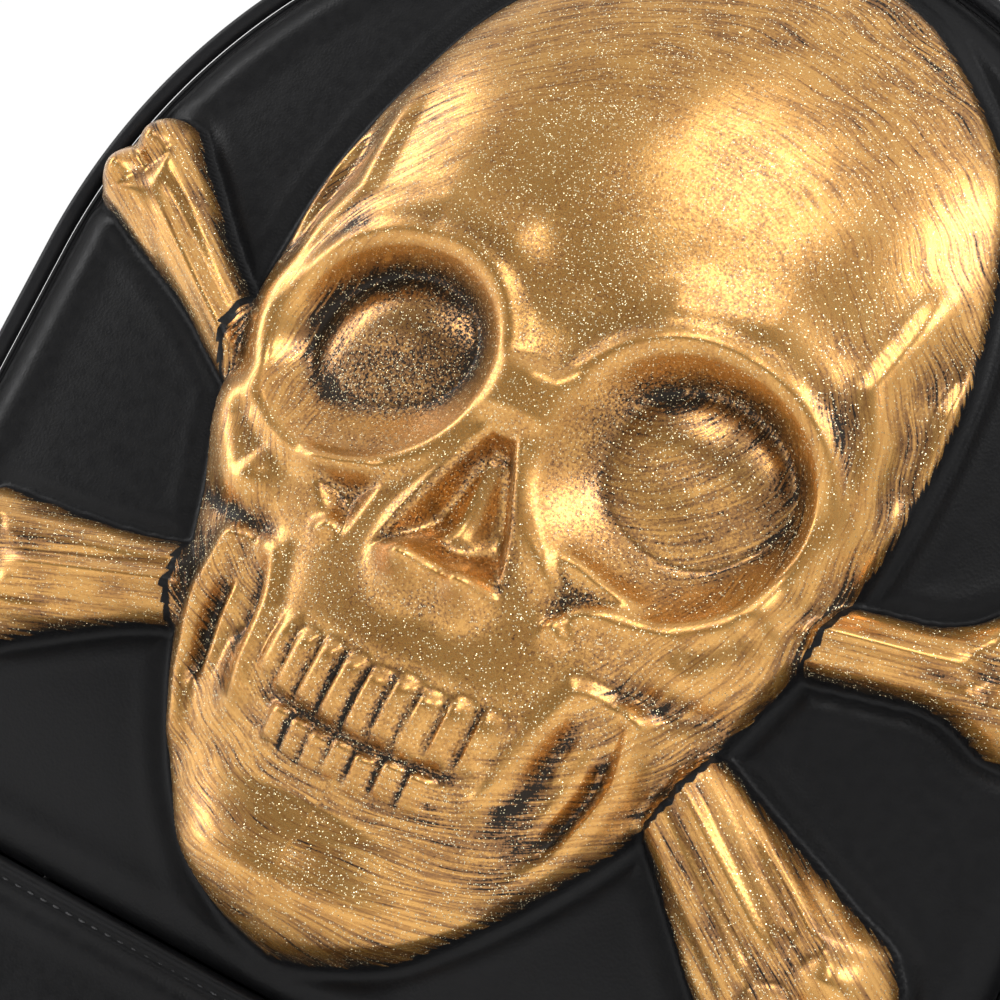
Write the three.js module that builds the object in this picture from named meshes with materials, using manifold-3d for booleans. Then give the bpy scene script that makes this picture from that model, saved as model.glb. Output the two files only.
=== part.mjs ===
// A backpack in black leather-look fabric whose moulded front carries a gold skull and crossed bones.
// Millimetres, +Z up. The origin is the centre of the flat base. The skull faces -Y, the straps +Y.
// The front panel is a door: its zip runs over the arch and it folds forward on the seam under the chin.
import * as THREE from "three";
import { mergeVertices } from "three/addons/utils/BufferGeometryUtils.js";
import Module from "manifold-3d";

const wasm = await Module();
wasm.setup();

// Driving dimensions
const HALF_WIDTH = 145; // half the width of the body, and the radius of its arch
const ARCH_Z = 280; // height of the arch's centre, level with the skull's eyes
const BODY_BOTTOM = 6; // underside of the body above the base panel
const CORNER_RADIUS = 32; // bottom corners
const FRONT_Y = -75; // front edge of the body, where the piping runs
const BACK_Y = 75; // rear edge of the body
const SEAM_Z = 141; // seam under the chin, the hinge line of the door
const GAP = 0.3; // clearance between pieces that touch
const WALL = 3; // padded side wall
const EDGE_INSET = 2.8; // front and rear panels stop this far inside the outline
const PANEL_EDGE = 2.4; // thickness of a panel at its edge
const DOOR_DOME = 8; // how far the padded front swells
const BAND_DOME = 4; // swell of the panel below the seam
const PIPING_RADIUS = 2.2;
const RIM_BACK_Y = -57; // rear edge of the door's own side strip
const ZIP_RECESS = 1.4; // zip tape below the surface of the side wall
const ZIP_TAPE = 2;
const ZIP_ROW = 2.2; // width of one row with its teeth
const ZIP_MID_Y = -53; // centre line of the zip
const ZIP_HALF_GAP = 1.5;
const SKULL_RELIEF = 23; // height of the skull above the panel
const BONE_RELIEF = 13; // height of the bones above the panel
const RELIEF_EDGE = 1.2; // thickness left at the edge of a moulded form
const STRAP_WIDTH = 58;
const STRAP_THICKNESS = 9;
const STRAP_TOP_X = 48; // straps leave the yoke this far from the middle
const STRAP_SPREAD = 66; // and reach this much further out at the base
const STRAP_TOP_Z = 382;
const WEBBING_WIDTH = 25;
const WEBBING_THICKNESS = 2;
const ANCHOR_Z = 30; // lower ends of the webbing
const HANDLE_Y = 52;
const HANDLE_HALF = 42;
const HANDLE_AXIS_Z = 432;
const HANDLE_RADIUS = 5.5;
const SLIDER_ANGLE = 2.4; // degrees from the top of the arch to each slider at rest
const POCKET_DEPTH = 22;
const POCKET_BOTTOM = 40;
const POCKET_TOP = 150;
const SLEEVE_Y = 52; // front face of the laptop sleeve

// Half-widths of the skull at heights measured from the eyes' level, chin to crown.
const SKULL_HALF_WIDTHS = [
  [-131, 0], [-128, 13], [-120, 28], [-110, 38.5], [-98, 48], [-80, 59],
  [-60, 67], [-40, 73], [-22, 79], [0, 84], [25, 85], [50, 83],
  [70, 78], [90, 71], [105, 61], [120, 45], [131, 27], [137, 0],
];
const CROWN_LEAN = 0.06; // the crown drifts to the right by this share of its height
const CHIN_SHIFT = 6; // and the chin sits this far to the left

// Each bone end: where its shaft leaves the skull, where its knob finishes, and their half-widths.
const BONES = {
  bone_upper_left: { from: [-68, -14], to: [-134, 31.5], shaft: 8.8, knob: 14.5 },
  bone_upper_right: { from: [68, -17], to: [130, -5], shaft: 10, knob: 19 },
  bone_lower_left: { from: [-56, -61], to: [-127, -83.5], shaft: 10.5, knob: 22 },
  bone_lower_right: { from: [58, -52], to: [118, -94], shaft: 10.5, knob: 23 },
};

// A bone's outline: fraction of its length, and how far it has spread from shaft to knob.
const BONE_PROFILE = [
  [0, 0], [0.3, 0.05], [0.48, 0.3], [0.66, 0.68], [0.85, 1], [1, 0.8], [1.03, 0],
];

const leather = { color: 0x1b1b1d, roughness: 0.5, metalness: 0 };
const smoothLeather = { color: 0x222224, roughness: 0.42, metalness: 0 };
const gold = { color: 0xb9822f, roughness: 0.38, metalness: 0.65 };
const metal = { color: 0x8d8478, roughness: 0.3, metalness: 1 };
const webbing = { color: 0x141415, roughness: 0.85, metalness: 0 };
const lining = { color: 0x2c2a2b, roughness: 0.8, metalness: 0 };
const plastic = { color: 0x101011, roughness: 0.45, metalness: 0 };
const mesh3d = { color: 0x1e1e20, roughness: 0.9, metalness: 0 };

const bag = new THREE.Group();

function add(name, geometry, finish) {
  const mesh = new THREE.Mesh(geometry, new THREE.MeshStandardMaterial(finish));
  mesh.name = name;
  bag.add(mesh);
  return mesh;
}

// Booleans

function toSolid(geometry) {
  const bare = geometry.index ? geometry.toNonIndexed() : geometry.clone();
  for (const name of Object.keys(bare.attributes)) {
    if (name !== "position") bare.deleteAttribute(name);
  }
  const merged = mergeVertices(bare, 1e-4);
  const vertProperties = merged.attributes.position.array;
  const triVerts = new Uint32Array(merged.index.array);
  return new wasm.Manifold(new wasm.Mesh({ numProp: 3, vertProperties, triVerts }));
}

function toGeometry(solid) {
  const out = solid.getMesh();
  const geometry = new THREE.BufferGeometry();
  geometry.setAttribute("position", new THREE.BufferAttribute(out.vertProperties, 3));
  geometry.setIndex(new THREE.BufferAttribute(out.triVerts, 1));
  return geometry;
}

function cut(geometry, ...tools) {
  let solid = toSolid(geometry);
  for (const tool of tools) solid = solid.subtract(toSolid(tool));
  return toGeometry(solid);
}

function overlap(geometry, other) {
  return toGeometry(toSolid(geometry).intersect(toSolid(other)));
}

function join(geometry, ...others) {
  let solid = toSolid(geometry);
  for (const other of others) solid = solid.add(toSolid(other));
  return toGeometry(solid);
}

// Outlines, seen from the front: x across, z up

function arc(cx, cz, radius, from, to, steps) {
  const points = [];
  for (let i = 0; i <= steps; i++) {
    const a = THREE.MathUtils.degToRad(from + ((to - from) * i) / steps);
    points.push(new THREE.Vector2(cx + radius * Math.cos(a), cz + radius * Math.sin(a)));
  }
  return points;
}

function bodyOutline(inset) {
  const half = HALF_WIDTH - inset;
  const bottom = BODY_BOTTOM + inset;
  const r = CORNER_RADIUS - inset;
  return [
    ...arc(half - r, bottom + r, r, -90, 0, 6),
    ...arc(0, ARCH_Z, half, 0, 180, 36),
    ...arc(-half + r, bottom + r, r, 180, 270, 6),
  ];
}

function doorOutline(inset) {
  const half = HALF_WIDTH - inset;
  const sill = SEAM_Z + GAP;
  return [new THREE.Vector2(half, sill), ...arc(0, ARCH_Z, half, 0, 180, 36), new THREE.Vector2(-half, sill)];
}

function bandOutline(inset) {
  const half = HALF_WIDTH - inset;
  const bottom = BODY_BOTTOM + inset;
  const r = CORNER_RADIUS - inset;
  const top = SEAM_Z - GAP;
  return [
    ...arc(half - r, bottom + r, r, -90, 0, 6),
    new THREE.Vector2(half, top),
    new THREE.Vector2(-half, top),
    ...arc(-half + r, bottom + r, r, 180, 270, 6),
  ];
}

// Extrusions

function extrude(shape, depth) {
  return new THREE.ExtrudeGeometry(shape, { depth, bevelEnabled: false });
}

// A flat piece standing in the XZ plane, from rearY forward by its thickness.
function upright(outline, rearY, thickness) {
  return extrude(new THREE.Shape(outline), thickness).rotateX(Math.PI / 2).translate(0, rearY, 0);
}

function block(x0, x1, y0, y1, z0, z1) {
  const box = new THREE.BoxGeometry(x1 - x0, y1 - y0, z1 - z0);
  return box.translate((x0 + x1) / 2, (y0 + y1) / 2, (z0 + z1) / 2);
}

// A strip of wall that follows the body's outline between two depths.
function bodyRing(inset, thickness, frontY, rearY) {
  const shape = new THREE.Shape(bodyOutline(inset));
  shape.holes.push(new THREE.Path(bodyOutline(inset + thickness)));
  return extrude(shape, rearY - frontY).rotateX(Math.PI / 2).translate(0, rearY, 0);
}

// The same over the door's arch only, open along the seam.
function doorArch(inset, thickness, frontY, rearY) {
  const outer = doorOutline(inset);
  const inner = doorOutline(inset + thickness).reverse();
  return upright([...outer, ...inner], rearY, rearY - frontY);
}

// A band of constant thickness along a line of points.
function bandShape(points, thickness) {
  const near = [];
  const far = [];
  points.forEach((p, i) => {
    const before = points[Math.max(i - 1, 0)];
    const after = points[Math.min(i + 1, points.length - 1)];
    const along = after.clone().sub(before).normalize();
    const across = new THREE.Vector2(-along.y, along.x).multiplyScalar(thickness / 2);
    near.push(p.clone().add(across));
    far.push(p.clone().sub(across));
  });
  return new THREE.Shape([...near, ...far.reverse()]);
}

// A side profile, drawn as y and z, given a width along X.
function acrossX(shape, width, centreX) {
  const turn = new THREE.Matrix4().makeBasis(
    new THREE.Vector3(0, 1, 0),
    new THREE.Vector3(0, 0, 1),
    new THREE.Vector3(1, 0, 0),
  );
  return extrude(shape, width).applyMatrix4(turn).translate(centreX - width / 2, 0, 0);
}

function tube(points, radius, steps, closed = false) {
  const path = new THREE.CatmullRomCurve3(points, closed);
  const section = new THREE.Shape(arc(0, 0, radius, 0, 300, 5));
  return new THREE.ExtrudeGeometry(section, { steps, extrudePath: path, bevelEnabled: false });
}

function warp(geometry, move) {
  const position = geometry.attributes.position;
  const v = new THREE.Vector3();
  for (let i = 0; i < position.count; i++) {
    v.fromBufferAttribute(position, i);
    move(v);
    position.setXYZ(i, v.x, v.y, v.z);
  }
  return geometry;
}

// A plate of free outline with a shaped front and back: a lathed disc stretched onto the outline.
// The back's rings come first in the lathe's profile, then the front's from the rim inwards.
function shapedPlate(outline, centre, rings, front, back) {
  const profile = [];
  const backRings = Math.ceil(rings * 0.45);
  for (let i = 0; i <= backRings; i++) profile.push(new THREE.Vector2(i / backRings, 0));
  for (let i = rings; i >= 0; i--) profile.push(new THREE.Vector2(i / rings, 1));
  const disc = new THREE.LatheGeometry(profile, outline.length);
  return warp(disc, (v) => {
    const radius = Math.hypot(v.x, v.z);
    const turn = (Math.atan2(v.x, v.z) / (2 * Math.PI) + 1) * outline.length;
    const rim = outline[Math.round(turn) % outline.length];
    const x = centre.x + radius * (rim.x - centre.x);
    const z = centre.y + radius * (rim.y - centre.y);
    v.set(x, v.y > 0.5 ? front(x, z, radius) : back(x, z, radius), z);
  });
}

// The padded front: height of its swell at a point.
function doorDome(x, z) {
  const up = z - ARCH_Z;
  const side = up > 0 ? Math.hypot(x, up) / HALF_WIDTH : Math.abs(x) / HALF_WIDTH;
  const down = Math.max(-up / (ARCH_Z - SEAM_Z), 0);
  return DOOR_DOME * Math.max(1 - side ** 4, 0) * Math.max(1 - down ** 4, 0);
}

const doorSurface = (x, z) => FRONT_Y - doorDome(x, z);

// Skull relief

function lean(up) {
  return up > 0 ? CROWN_LEAN * up : -CHIN_SHIFT * THREE.MathUtils.smoothstep(-up, 50, 130);
}

function skullOutline() {
  const right = SKULL_HALF_WIDTHS.map(([z, x]) => new THREE.Vector3(x, z, 0));
  const left = right.slice(1, -1).reverse().map((p) => new THREE.Vector3(-p.x, p.y, 0));
  const curve = new THREE.CatmullRomCurve3([...right, ...left], true);
  const points = curve.getSpacedPoints(60).slice(0, 60);
  return points.map((p) => new THREE.Vector2(p.x + lean(p.y), p.y + ARCH_Z));
}

const bump = (x, z, cx, cz, rx, rz) => Math.exp(-(((x - cx) / rx) ** 2) - ((z - cz) / rz) ** 2);
const hollow = (d) => 1 - THREE.MathUtils.smoothstep(d, 0.35, 1.2);

// Height of the face above the panel. The skull is symmetric about its leaning middle line.
function faceHeight(x, z, edge) {
  const up = z - ARCH_Z;
  const ax = Math.abs(x - lean(up));
  const socket = Math.hypot((ax - 39.5) / 28, (up - 3) / 25);
  let h = SKULL_RELIEF * Math.max(1 - edge ** 2.2, 0) ** 0.62;
  h += 3 * bump(ax, up, 0, 66, 52, 38);
  h -= 8 * hollow(socket);
  h += 2 * Math.exp(-(((socket - 1.25) / 0.3) ** 2)) * (1 - edge ** 4);
  h -= 6 * bump(ax, up, 8, -24, 8, 12);
  h += 5 * bump(ax, up, 8, -38, 7, 6);
  h += 4 * bump(ax, up, 62, -28, 14, 10);
  h -= 5 * bump(ax, up, 44, -64, 9, 18);
  h += 4 * bump(ax, up, 0, -70, 34, 22);
  h += 3 * bump(ax, up, 0, -112, 30, 14);
  h -= 2.5 * bump(ax, up, 78, 34, 8, 24);
  return RELIEF_EDGE + Math.max(h, 0);
}

function skullRelief() {
  const front = (x, z, s) => doorSurface(x, z) - GAP - faceHeight(x, z, s);
  const back = (x, z) => doorSurface(x, z) - GAP;
  return shapedPlate(skullOutline(), new THREE.Vector2(0, ARCH_Z - 5), 17, front, back);
}

// Bone reliefs, cut back to the skull's outline

function boneOutline({ from, to, shaft, knob }) {
  const start = new THREE.Vector2(from[0], from[1] + ARCH_Z);
  const end = new THREE.Vector2(to[0], to[1] + ARCH_Z);
  const along = end.clone().sub(start);
  const across = new THREE.Vector2(-along.y, along.x).normalize();
  const point = (t, w) => start.clone().addScaledVector(along, t).addScaledVector(across, w);
  const width = (spread) => shaft + spread * (knob - shaft);
  const upper = BONE_PROFILE.map(([t, spread]) => point(t, width(spread)));
  const lower = BONE_PROFILE.map(([t, spread]) => point(t, -width(spread))).reverse();
  const corners = [...upper, ...lower].reverse().map((p) => new THREE.Vector3(p.x, p.y, 0));
  const curve = new THREE.CatmullRomCurve3(corners, true);
  const rim = curve.getSpacedPoints(28).slice(0, 28).map((p) => new THREE.Vector2(p.x, p.y));
  return { rim, middle: start.addScaledVector(along, 0.6) };
}

function boneRelief(bone, skullPrism) {
  const { rim, middle } = boneOutline(bone);
  const crown = (s) => RELIEF_EDGE + BONE_RELIEF * Math.max(1 - s ** 2.4, 0) ** 0.6;
  const front = (x, z, s) => doorSurface(x, z) - GAP - crown(s);
  const back = (x, z) => doorSurface(x, z) - GAP;
  return cut(shapedPlate(rim, middle, 4, front, back), skullPrism);
}

function addReliefs() {
  add("skull_relief", skullRelief(), gold);
  const middle = new THREE.Vector2(0, ARCH_Z);
  const wider = skullOutline().map((p) => {
    const out = p.clone().sub(middle);
    return middle.clone().add(out.setLength(out.length() + 0.5));
  });
  const prism = upright(wider, FRONT_Y + 20, 120);
  for (const [name, bone] of Object.entries(BONES)) add(name, boneRelief(bone, prism), gold);
}

// Door

function addDoor() {
  const sillToMiddle = new THREE.Vector2(0, 260);
  const skin = shapedPlate(
    doorOutline(EDGE_INSET), sillToMiddle, 6,
    doorSurface, () => FRONT_Y + PANEL_EDGE,
  );
  add("door_skin", skin, leather);
  const backingFront = FRONT_Y + PANEL_EDGE + GAP;
  add("door_backing", upright(doorOutline(WALL + GAP), backingFront + 2, 2), lining);
  add("door_rim", doorArch(0, WALL - GAP, FRONT_Y + PANEL_EDGE + GAP, RIM_BACK_Y), smoothLeather);
  const rowRear = ZIP_MID_Y - ZIP_HALF_GAP;
  add("door_zip", doorArch(ZIP_RECESS, ZIP_TAPE, RIM_BACK_Y + GAP, rowRear), webbing);
  add("door_piping", tube(pipingPath(doorOutline(-0.5), FRONT_Y), PIPING_RADIUS, 60), smoothLeather);
}

function pipingPath(outline, y) {
  return outline.map((p) => new THREE.Vector3(p.x, y, p.y));
}

// Body shell

function addShell() {
  const wallFront = FRONT_Y + PANEL_EDGE + GAP;
  const zipRear = ZIP_MID_Y + ZIP_HALF_GAP + ZIP_ROW;
  const wall = bodyRing(0, WALL, wallFront, BACK_Y - PANEL_EDGE - GAP);
  const doorway = block(-200, 200, FRONT_Y - 20, zipRear + GAP, SEAM_Z - GAP, 500);
  add("side_wall", cut(wall, doorway), smoothLeather);
  add("body_zip", doorArch(ZIP_RECESS, ZIP_TAPE, ZIP_MID_Y + ZIP_HALF_GAP, zipRear), webbing);
  const bandMiddle = new THREE.Vector2(0, 70);
  const bandFront = (x, z, s) => FRONT_Y - BAND_DOME * Math.max(1 - s ** 3, 0);
  const band = shapedPlate(bandOutline(EDGE_INSET), bandMiddle, 4, bandFront, () => FRONT_Y + PANEL_EDGE);
  add("front_band", band, leather);
  add("band_piping", tube(pipingPath(bandRoute(), FRONT_Y), PIPING_RADIUS, 44), smoothLeather);
  add("rear_piping", tube(pipingPath(bodyOutline(-0.5), BACK_Y), PIPING_RADIUS, 72, true), smoothLeather);
  add("back_panel", upright(bodyOutline(EDGE_INSET), BACK_Y + 1.6, 4), leather);
  add("base_panel", block(-112, 112, -71, 71, 0, BODY_BOTTOM - GAP), leather);
  add("base_board", block(-108, 108, -66, 50, BODY_BOTTOM + WALL + GAP, BODY_BOTTOM + WALL + 2.5), lining);
}

// The lower piping runs from the seam down one side, under the band and up the other.
function bandRoute() {
  const half = HALF_WIDTH + 0.5;
  const bottom = BODY_BOTTOM - 0.5;
  const r = CORNER_RADIUS + 0.5;
  const top = SEAM_Z - 3.4; // clear of the door's piping as the door folds down
  return [
    new THREE.Vector2(-half, top),
    new THREE.Vector2(-half, (top + r) / 2),
    ...arc(-half + r, bottom + r, r, 180, 270, 6),
    new THREE.Vector2(0, bottom),
    ...arc(half - r, bottom + r, r, 270, 360, 6),
    new THREE.Vector2(half, (top + r) / 2),
    new THREE.Vector2(half, top),
  ];
}

// Zip sliders and their pulls

function onArch(object, degrees) {
  const holder = new THREE.Group();
  holder.position.set(0, 0, ARCH_Z);
  holder.rotation.y = THREE.MathUtils.degToRad(degrees);
  holder.add(object);
  bag.add(holder);
}

function slider() {
  const outer = HALF_WIDTH + 1.6;
  const wing = block(-4.5, 4.5, ZIP_MID_Y - 3.4, ZIP_MID_Y + 3.4, outer - 2, outer);
  const web = block(-3, 3, ZIP_MID_Y - 1.1, ZIP_MID_Y + 1.1, outer - 7, outer - 1);
  const keeper = block(-4.5, 4.5, ZIP_MID_Y - 1.1, ZIP_MID_Y + 3.4, outer - 8.5, outer - 6.5);
  return join(wing, web, keeper);
}

// The pull lies along the zip, away from the top of the arch, on a pivot just above the slider.
function pull(side) {
  const corners = [[-0.9, -2.6], [10, -2.6], [24, -4], [27, -2], [27, 2], [24, 4], [10, 2.6], [-0.9, 2.6]];
  const shape = new THREE.Shape(corners.map(([x, y]) => new THREE.Vector2(x, y)));
  shape.holes.push(new THREE.Path(arc(22, 0, 1.9, 0, 315, 7)));
  const tab = extrude(shape, 1.4).translate(0, ZIP_MID_Y, HALF_WIDTH + 2.2);
  return side > 0 ? tab : tab.rotateZ(Math.PI).translate(0, 2 * ZIP_MID_Y, 0);
}

function addZipHardware() {
  for (const [name, side] of [["left", -1], ["right", 1]]) {
    for (const [kind, geometry] of [["slider", slider()], ["pull", pull(side)]]) {
      const mesh = new THREE.Mesh(geometry, new THREE.MeshStandardMaterial(metal));
      mesh.name = `zip_${kind}_${name}`;
      onArch(mesh, side * SLIDER_ANGLE);
    }
  }
}

// Back: pads, yoke, straps

function roundedRectangle(x0, x1, z0, z1, r) {
  return [
    ...arc(x1 - r, z0 + r, r, -90, 0, 3),
    ...arc(x1 - r, z1 - r, r, 0, 90, 3),
    ...arc(x0 + r, z1 - r, r, 90, 180, 3),
    ...arc(x0 + r, z0 + r, r, 180, 270, 3),
  ];
}

function backPad(x0, x1, z0, z1) {
  const rear = BACK_Y + 1.6 + GAP;
  const shape = new THREE.Shape(roundedRectangle(x0, x1, z0, z1, 16));
  const pad = new THREE.ExtrudeGeometry(shape, {
    depth: 3, bevelSize: 0, bevelOffset: -4, bevelThickness: 4, bevelSegments: 2, curveSegments: 4,
  });
  return pad.rotateX(Math.PI / 2).translate(0, rear + 7, 0);
}

const strapX = (z) => STRAP_TOP_X + STRAP_SPREAD * ((STRAP_TOP_Z - z) / (STRAP_TOP_Z - ANCHOR_Z)) ** 1.3;

function sideProfile(points) {
  const line = points.map(([y, z]) => new THREE.Vector3(y, z, 0));
  const curve = new THREE.CatmullRomCurve3(line);
  return curve.getSpacedPoints(20).map((p) => new THREE.Vector2(p.x, p.y));
}

function bentStrap(points, thickness, width, side) {
  const band = acrossX(bandShape(sideProfile(points), thickness), width, 0);
  return warp(band, (v) => {
    v.x = side * strapX(Math.min(v.z, STRAP_TOP_Z)) + v.x;
  });
}

function addStraps() {
  const padBack = BACK_Y + 1.6 + GAP;
  add("back_pad_left", backPad(-118, -14, 120, 352), mesh3d);
  add("back_pad_right", backPad(14, 118, 120, 352), mesh3d);
  add("back_pad_lower", backPad(-78, 78, 40, 112), mesh3d);
  add("strap_yoke", upright(roundedRectangle(-84, 84, 348, 386, 8), padBack + 3, 3), smoothLeather);
  const shoulder = [[84.9, 381], [86.5, 366], [97, 340], [110, 298], [113, 245], [107, 188], [97, 140]];
  const lower = [[95, 118], [92, 100], [86.5, 60], [83.6, 34], [83.4, 24]];
  for (const [name, side] of [["left", -1], ["right", 1]]) {
    add(`shoulder_strap_${name}`, bentStrap(shoulder, STRAP_THICKNESS, STRAP_WIDTH, side), leather);
    add(`strap_webbing_${name}`, bentStrap(lower, WEBBING_THICKNESS, WEBBING_WIDTH, side), webbing);
    add(`ladder_lock_${name}`, ladderLock(side), plastic);
    const x = side * strapX(ANCHOR_Z);
    const anchor = roundedRectangle(x - 19, x + 19, 16, 50, 6);
    const shifted = anchor.map((p) => new THREE.Vector2(p.x - side * 8, p.y));
    add(`strap_anchor_${name}`, upright(shifted, padBack + 5, 5), smoothLeather);
  }
}

// A three-bar buckle between the padded strap and its webbing.
function ladderLock(side) {
  const frame = new THREE.Shape(roundedRectangle(-17, 17, -8.5, 8.5, 3));
  for (const z of [-4, 4]) {
    frame.holes.push(new THREE.Path(roundedRectangle(-13.5, 13.5, z - 1.9, z + 1.9, 1)));
  }
  const z = 128.5;
  const piece = extrude(frame, 4).rotateX(Math.PI / 2);
  return piece.rotateX(-0.18).translate(side * strapX(z), 98.2, z);
}

// Carry handle, pivoting between two lugs

function addHandle() {
  const grip = [
    [-HANDLE_HALF, 0], [-HANDLE_HALF + 1, 8], [-HANDLE_HALF + 10, 19], [-15, 25],
    [15, 25], [HANDLE_HALF - 10, 19], [HANDLE_HALF - 1, 8], [HANDLE_HALF, 0],
  ];
  const path = grip.map(([x, rise]) => new THREE.Vector3(x, HANDLE_Y, HANDLE_AXIS_Z + rise));
  add("carry_handle", tube(path, HANDLE_RADIUS, 26), leather);
  const outside = upright(bodyOutline(-GAP), BACK_Y, 150);
  const above = upright(bodyOutline(-GAP - 2.5), BACK_Y, 150);
  const near = HANDLE_HALF + HANDLE_RADIUS + 0.8;
  const cheek = block(near, near + 3.5, HANDLE_Y - 7, HANDLE_Y + 7, 400, HANDLE_AXIS_Z + 6);
  const foot = block(near, near + 22, HANDLE_Y - 8, HANDLE_Y + 8, 390, 440);
  for (const [name, side] of [["left", -1], ["right", 1]]) {
    const lug = cut(join(cheek, overlap(foot, above)), outside);
    if (side < 0) lug.rotateZ(Math.PI).translate(0, 2 * HANDLE_Y, 0);
    add(`handle_lug_${name}`, lug, metal);
  }
}

// Hanging loop behind the handle
function addHangLoop() {
  const loop = [[-9, 386.4], [-9, 400], [-5, 406], [5, 406], [9, 400], [9, 386.4]];
  const line = loop.map(([x, z]) => new THREE.Vector2(x, z));
  const band = extrude(bandShape(line, 2), 9).rotateX(Math.PI / 2);
  add("hang_loop", band.translate(0, BACK_Y + 1.6 + GAP + 10, 0), webbing);
}

// Side pockets

function pocketOutline(inset, innerX) {
  const outer = HALF_WIDTH + POCKET_DEPTH - inset;
  return [
    new THREE.Vector2(innerX, -44 + inset),
    new THREE.Vector2(outer, -34 + inset),
    new THREE.Vector2(outer, 44 - inset),
    new THREE.Vector2(innerX, 54 - inset),
  ];
}

function prismZ(outline, z0, z1) {
  return extrude(new THREE.Shape(outline), z1 - z0).translate(0, 0, z0);
}

function addSidePockets() {
  const wallX = HALF_WIDTH + GAP;
  for (const [name, side] of [["left", -1], ["right", 1]]) {
    const bag3 = prismZ(pocketOutline(0, wallX), POCKET_BOTTOM, POCKET_TOP);
    const space = prismZ(pocketOutline(2.5, wallX - 5), POCKET_BOTTOM + 2.5, POCKET_TOP + 5);
    const hemOuter = prismZ(pocketOutline(0, wallX), POCKET_TOP + GAP, POCKET_TOP + 9);
    const hemInner = prismZ(pocketOutline(3, wallX - 5), POCKET_TOP - 5, POCKET_TOP + 15);
    const pieces = { side_pocket: cut(bag3, space), pocket_hem: cut(hemOuter, hemInner) };
    for (const [kind, geometry] of Object.entries(pieces)) {
      const mesh = add(`${kind}_${name}`, geometry, kind === "side_pocket" ? leather : webbing);
      if (side < 0) mesh.scale.x = -1;
    }
  }
}

// Inside: a laptop sleeve, a slip pocket on it and the tab that closes the sleeve

function addInterior() {
  const floor = BODY_BOTTOM + WALL + GAP;
  add("laptop_sleeve", block(-112, 112, SLEEVE_Y, SLEEVE_Y + 3, floor, 285), lining);
  add("slip_pocket", block(-80, 80, SLEEVE_Y - 2.5, SLEEVE_Y - GAP, 60, 190), lining);
  const tab = new THREE.Shape([
    new THREE.Vector2(BACK_Y - 2.9, 303), new THREE.Vector2(BACK_Y - 2.9, 305),
    new THREE.Vector2(SLEEVE_Y - 3, 305), new THREE.Vector2(SLEEVE_Y - 3, 265),
    new THREE.Vector2(SLEEVE_Y - 1, 265), new THREE.Vector2(SLEEVE_Y - 1, 303),
  ]);
  add("sleeve_tab", acrossX(tab, 38, 0), webbing);
}

addDoor();
addReliefs();
addShell();
addZipHardware();
addStraps();
addHandle();
addHangLoop();
addSidePockets();
addInterior();

export default bag;
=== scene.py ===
"""A black backpack with a moulded gold skull and crossed bones on its front.

All shapes are worked out in millimetres in the model's own frame
and turned into metres when a mesh is made.
x is across, y is depth (the front faces -y) and z is up.
"""
import math

import bmesh
import bpy
import numpy as np
from mathutils import Matrix, Vector


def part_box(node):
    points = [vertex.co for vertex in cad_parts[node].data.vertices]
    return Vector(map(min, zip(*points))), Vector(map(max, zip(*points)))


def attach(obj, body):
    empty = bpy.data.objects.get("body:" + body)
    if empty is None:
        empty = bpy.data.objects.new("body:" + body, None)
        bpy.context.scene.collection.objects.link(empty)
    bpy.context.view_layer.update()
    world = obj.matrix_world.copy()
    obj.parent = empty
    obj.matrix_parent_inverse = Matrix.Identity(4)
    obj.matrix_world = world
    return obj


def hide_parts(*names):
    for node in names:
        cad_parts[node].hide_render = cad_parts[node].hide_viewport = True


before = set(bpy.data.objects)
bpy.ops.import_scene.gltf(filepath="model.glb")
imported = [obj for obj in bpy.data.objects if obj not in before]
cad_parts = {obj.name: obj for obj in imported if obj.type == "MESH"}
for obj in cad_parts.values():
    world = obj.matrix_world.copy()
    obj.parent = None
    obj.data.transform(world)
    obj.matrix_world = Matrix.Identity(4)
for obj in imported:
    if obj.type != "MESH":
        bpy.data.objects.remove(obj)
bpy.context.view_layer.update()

MM = 0.001
BEHIND = np.array([0.0, 1.0, 0.0])
AHEAD = np.array([0.0, -1.0, 0.0])
SIDES = (("left", -1), ("right", 1))

# the body's outline: half-width, middle and top of the arch, lowest point, radius of the low corners
HALF = 145.0
ARCH_Z = 280.0
ARCH_TOP = ARCH_Z + HALF
BOTTOM = 6.0
CORNER = 32.0
# front and back of the body, the seam under the door, how far panels stand in from the outline
FRONT_Y = -75.0
BACK_Y = 75.0
SEAM_Z = 141.0
INSET = 2.8
# how far the door's dome, the skull and the bones stand out
DOME = 8.0
SKULL_RELIEF = 23.0
BONE_RELIEF = 13.0
# where the door's rim ends, the zip between its two tapes, and the wall round them
RIM_BACK_Y = -57.0
ZIP_Y = -53.0
ZIP_HALF_GAP = 1.5
ZIP_REAR = ZIP_Y + ZIP_HALF_GAP + 2.5
WALL_FRONT = FRONT_Y + 2.7
WALL_REAR = BACK_Y - 2.7
WALL_THICKNESS = 3.0
RIM_THICKNESS = 2.7
PIPING_RADIUS = 2.2
# corner radii of the pieces sewn on
PAD_RADIUS = 16.0
PATCH_RADIUS = 7.0
INNER_POCKET_RADIUS = 6.0
BASE_RADIUS = 12.0
BACKING_INSET = 3.4
# stitches: spacing, and how far the row under the seam lies below it
STITCH_PITCH = 3.8
STITCH_DROP = 4.6
# shoulder straps, from the yoke down to the anchors
STRAP_TOP_Z, ANCHOR_Z = 382.0, 30.0
STRAP_WIDTH, STRAP_THICKNESS = 57.6, 8.8
STRAP_SEAM = 4.2
POCKET_DEPTH, POCKET_BOTTOM, POCKET_TOP = 22.0, 40.0, 150.0
POCKET_PLEATS = 19

LEATHER_BLACK = (0.006, 0.006, 0.0065)
LEATHER_SPECULAR = 0.17

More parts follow.
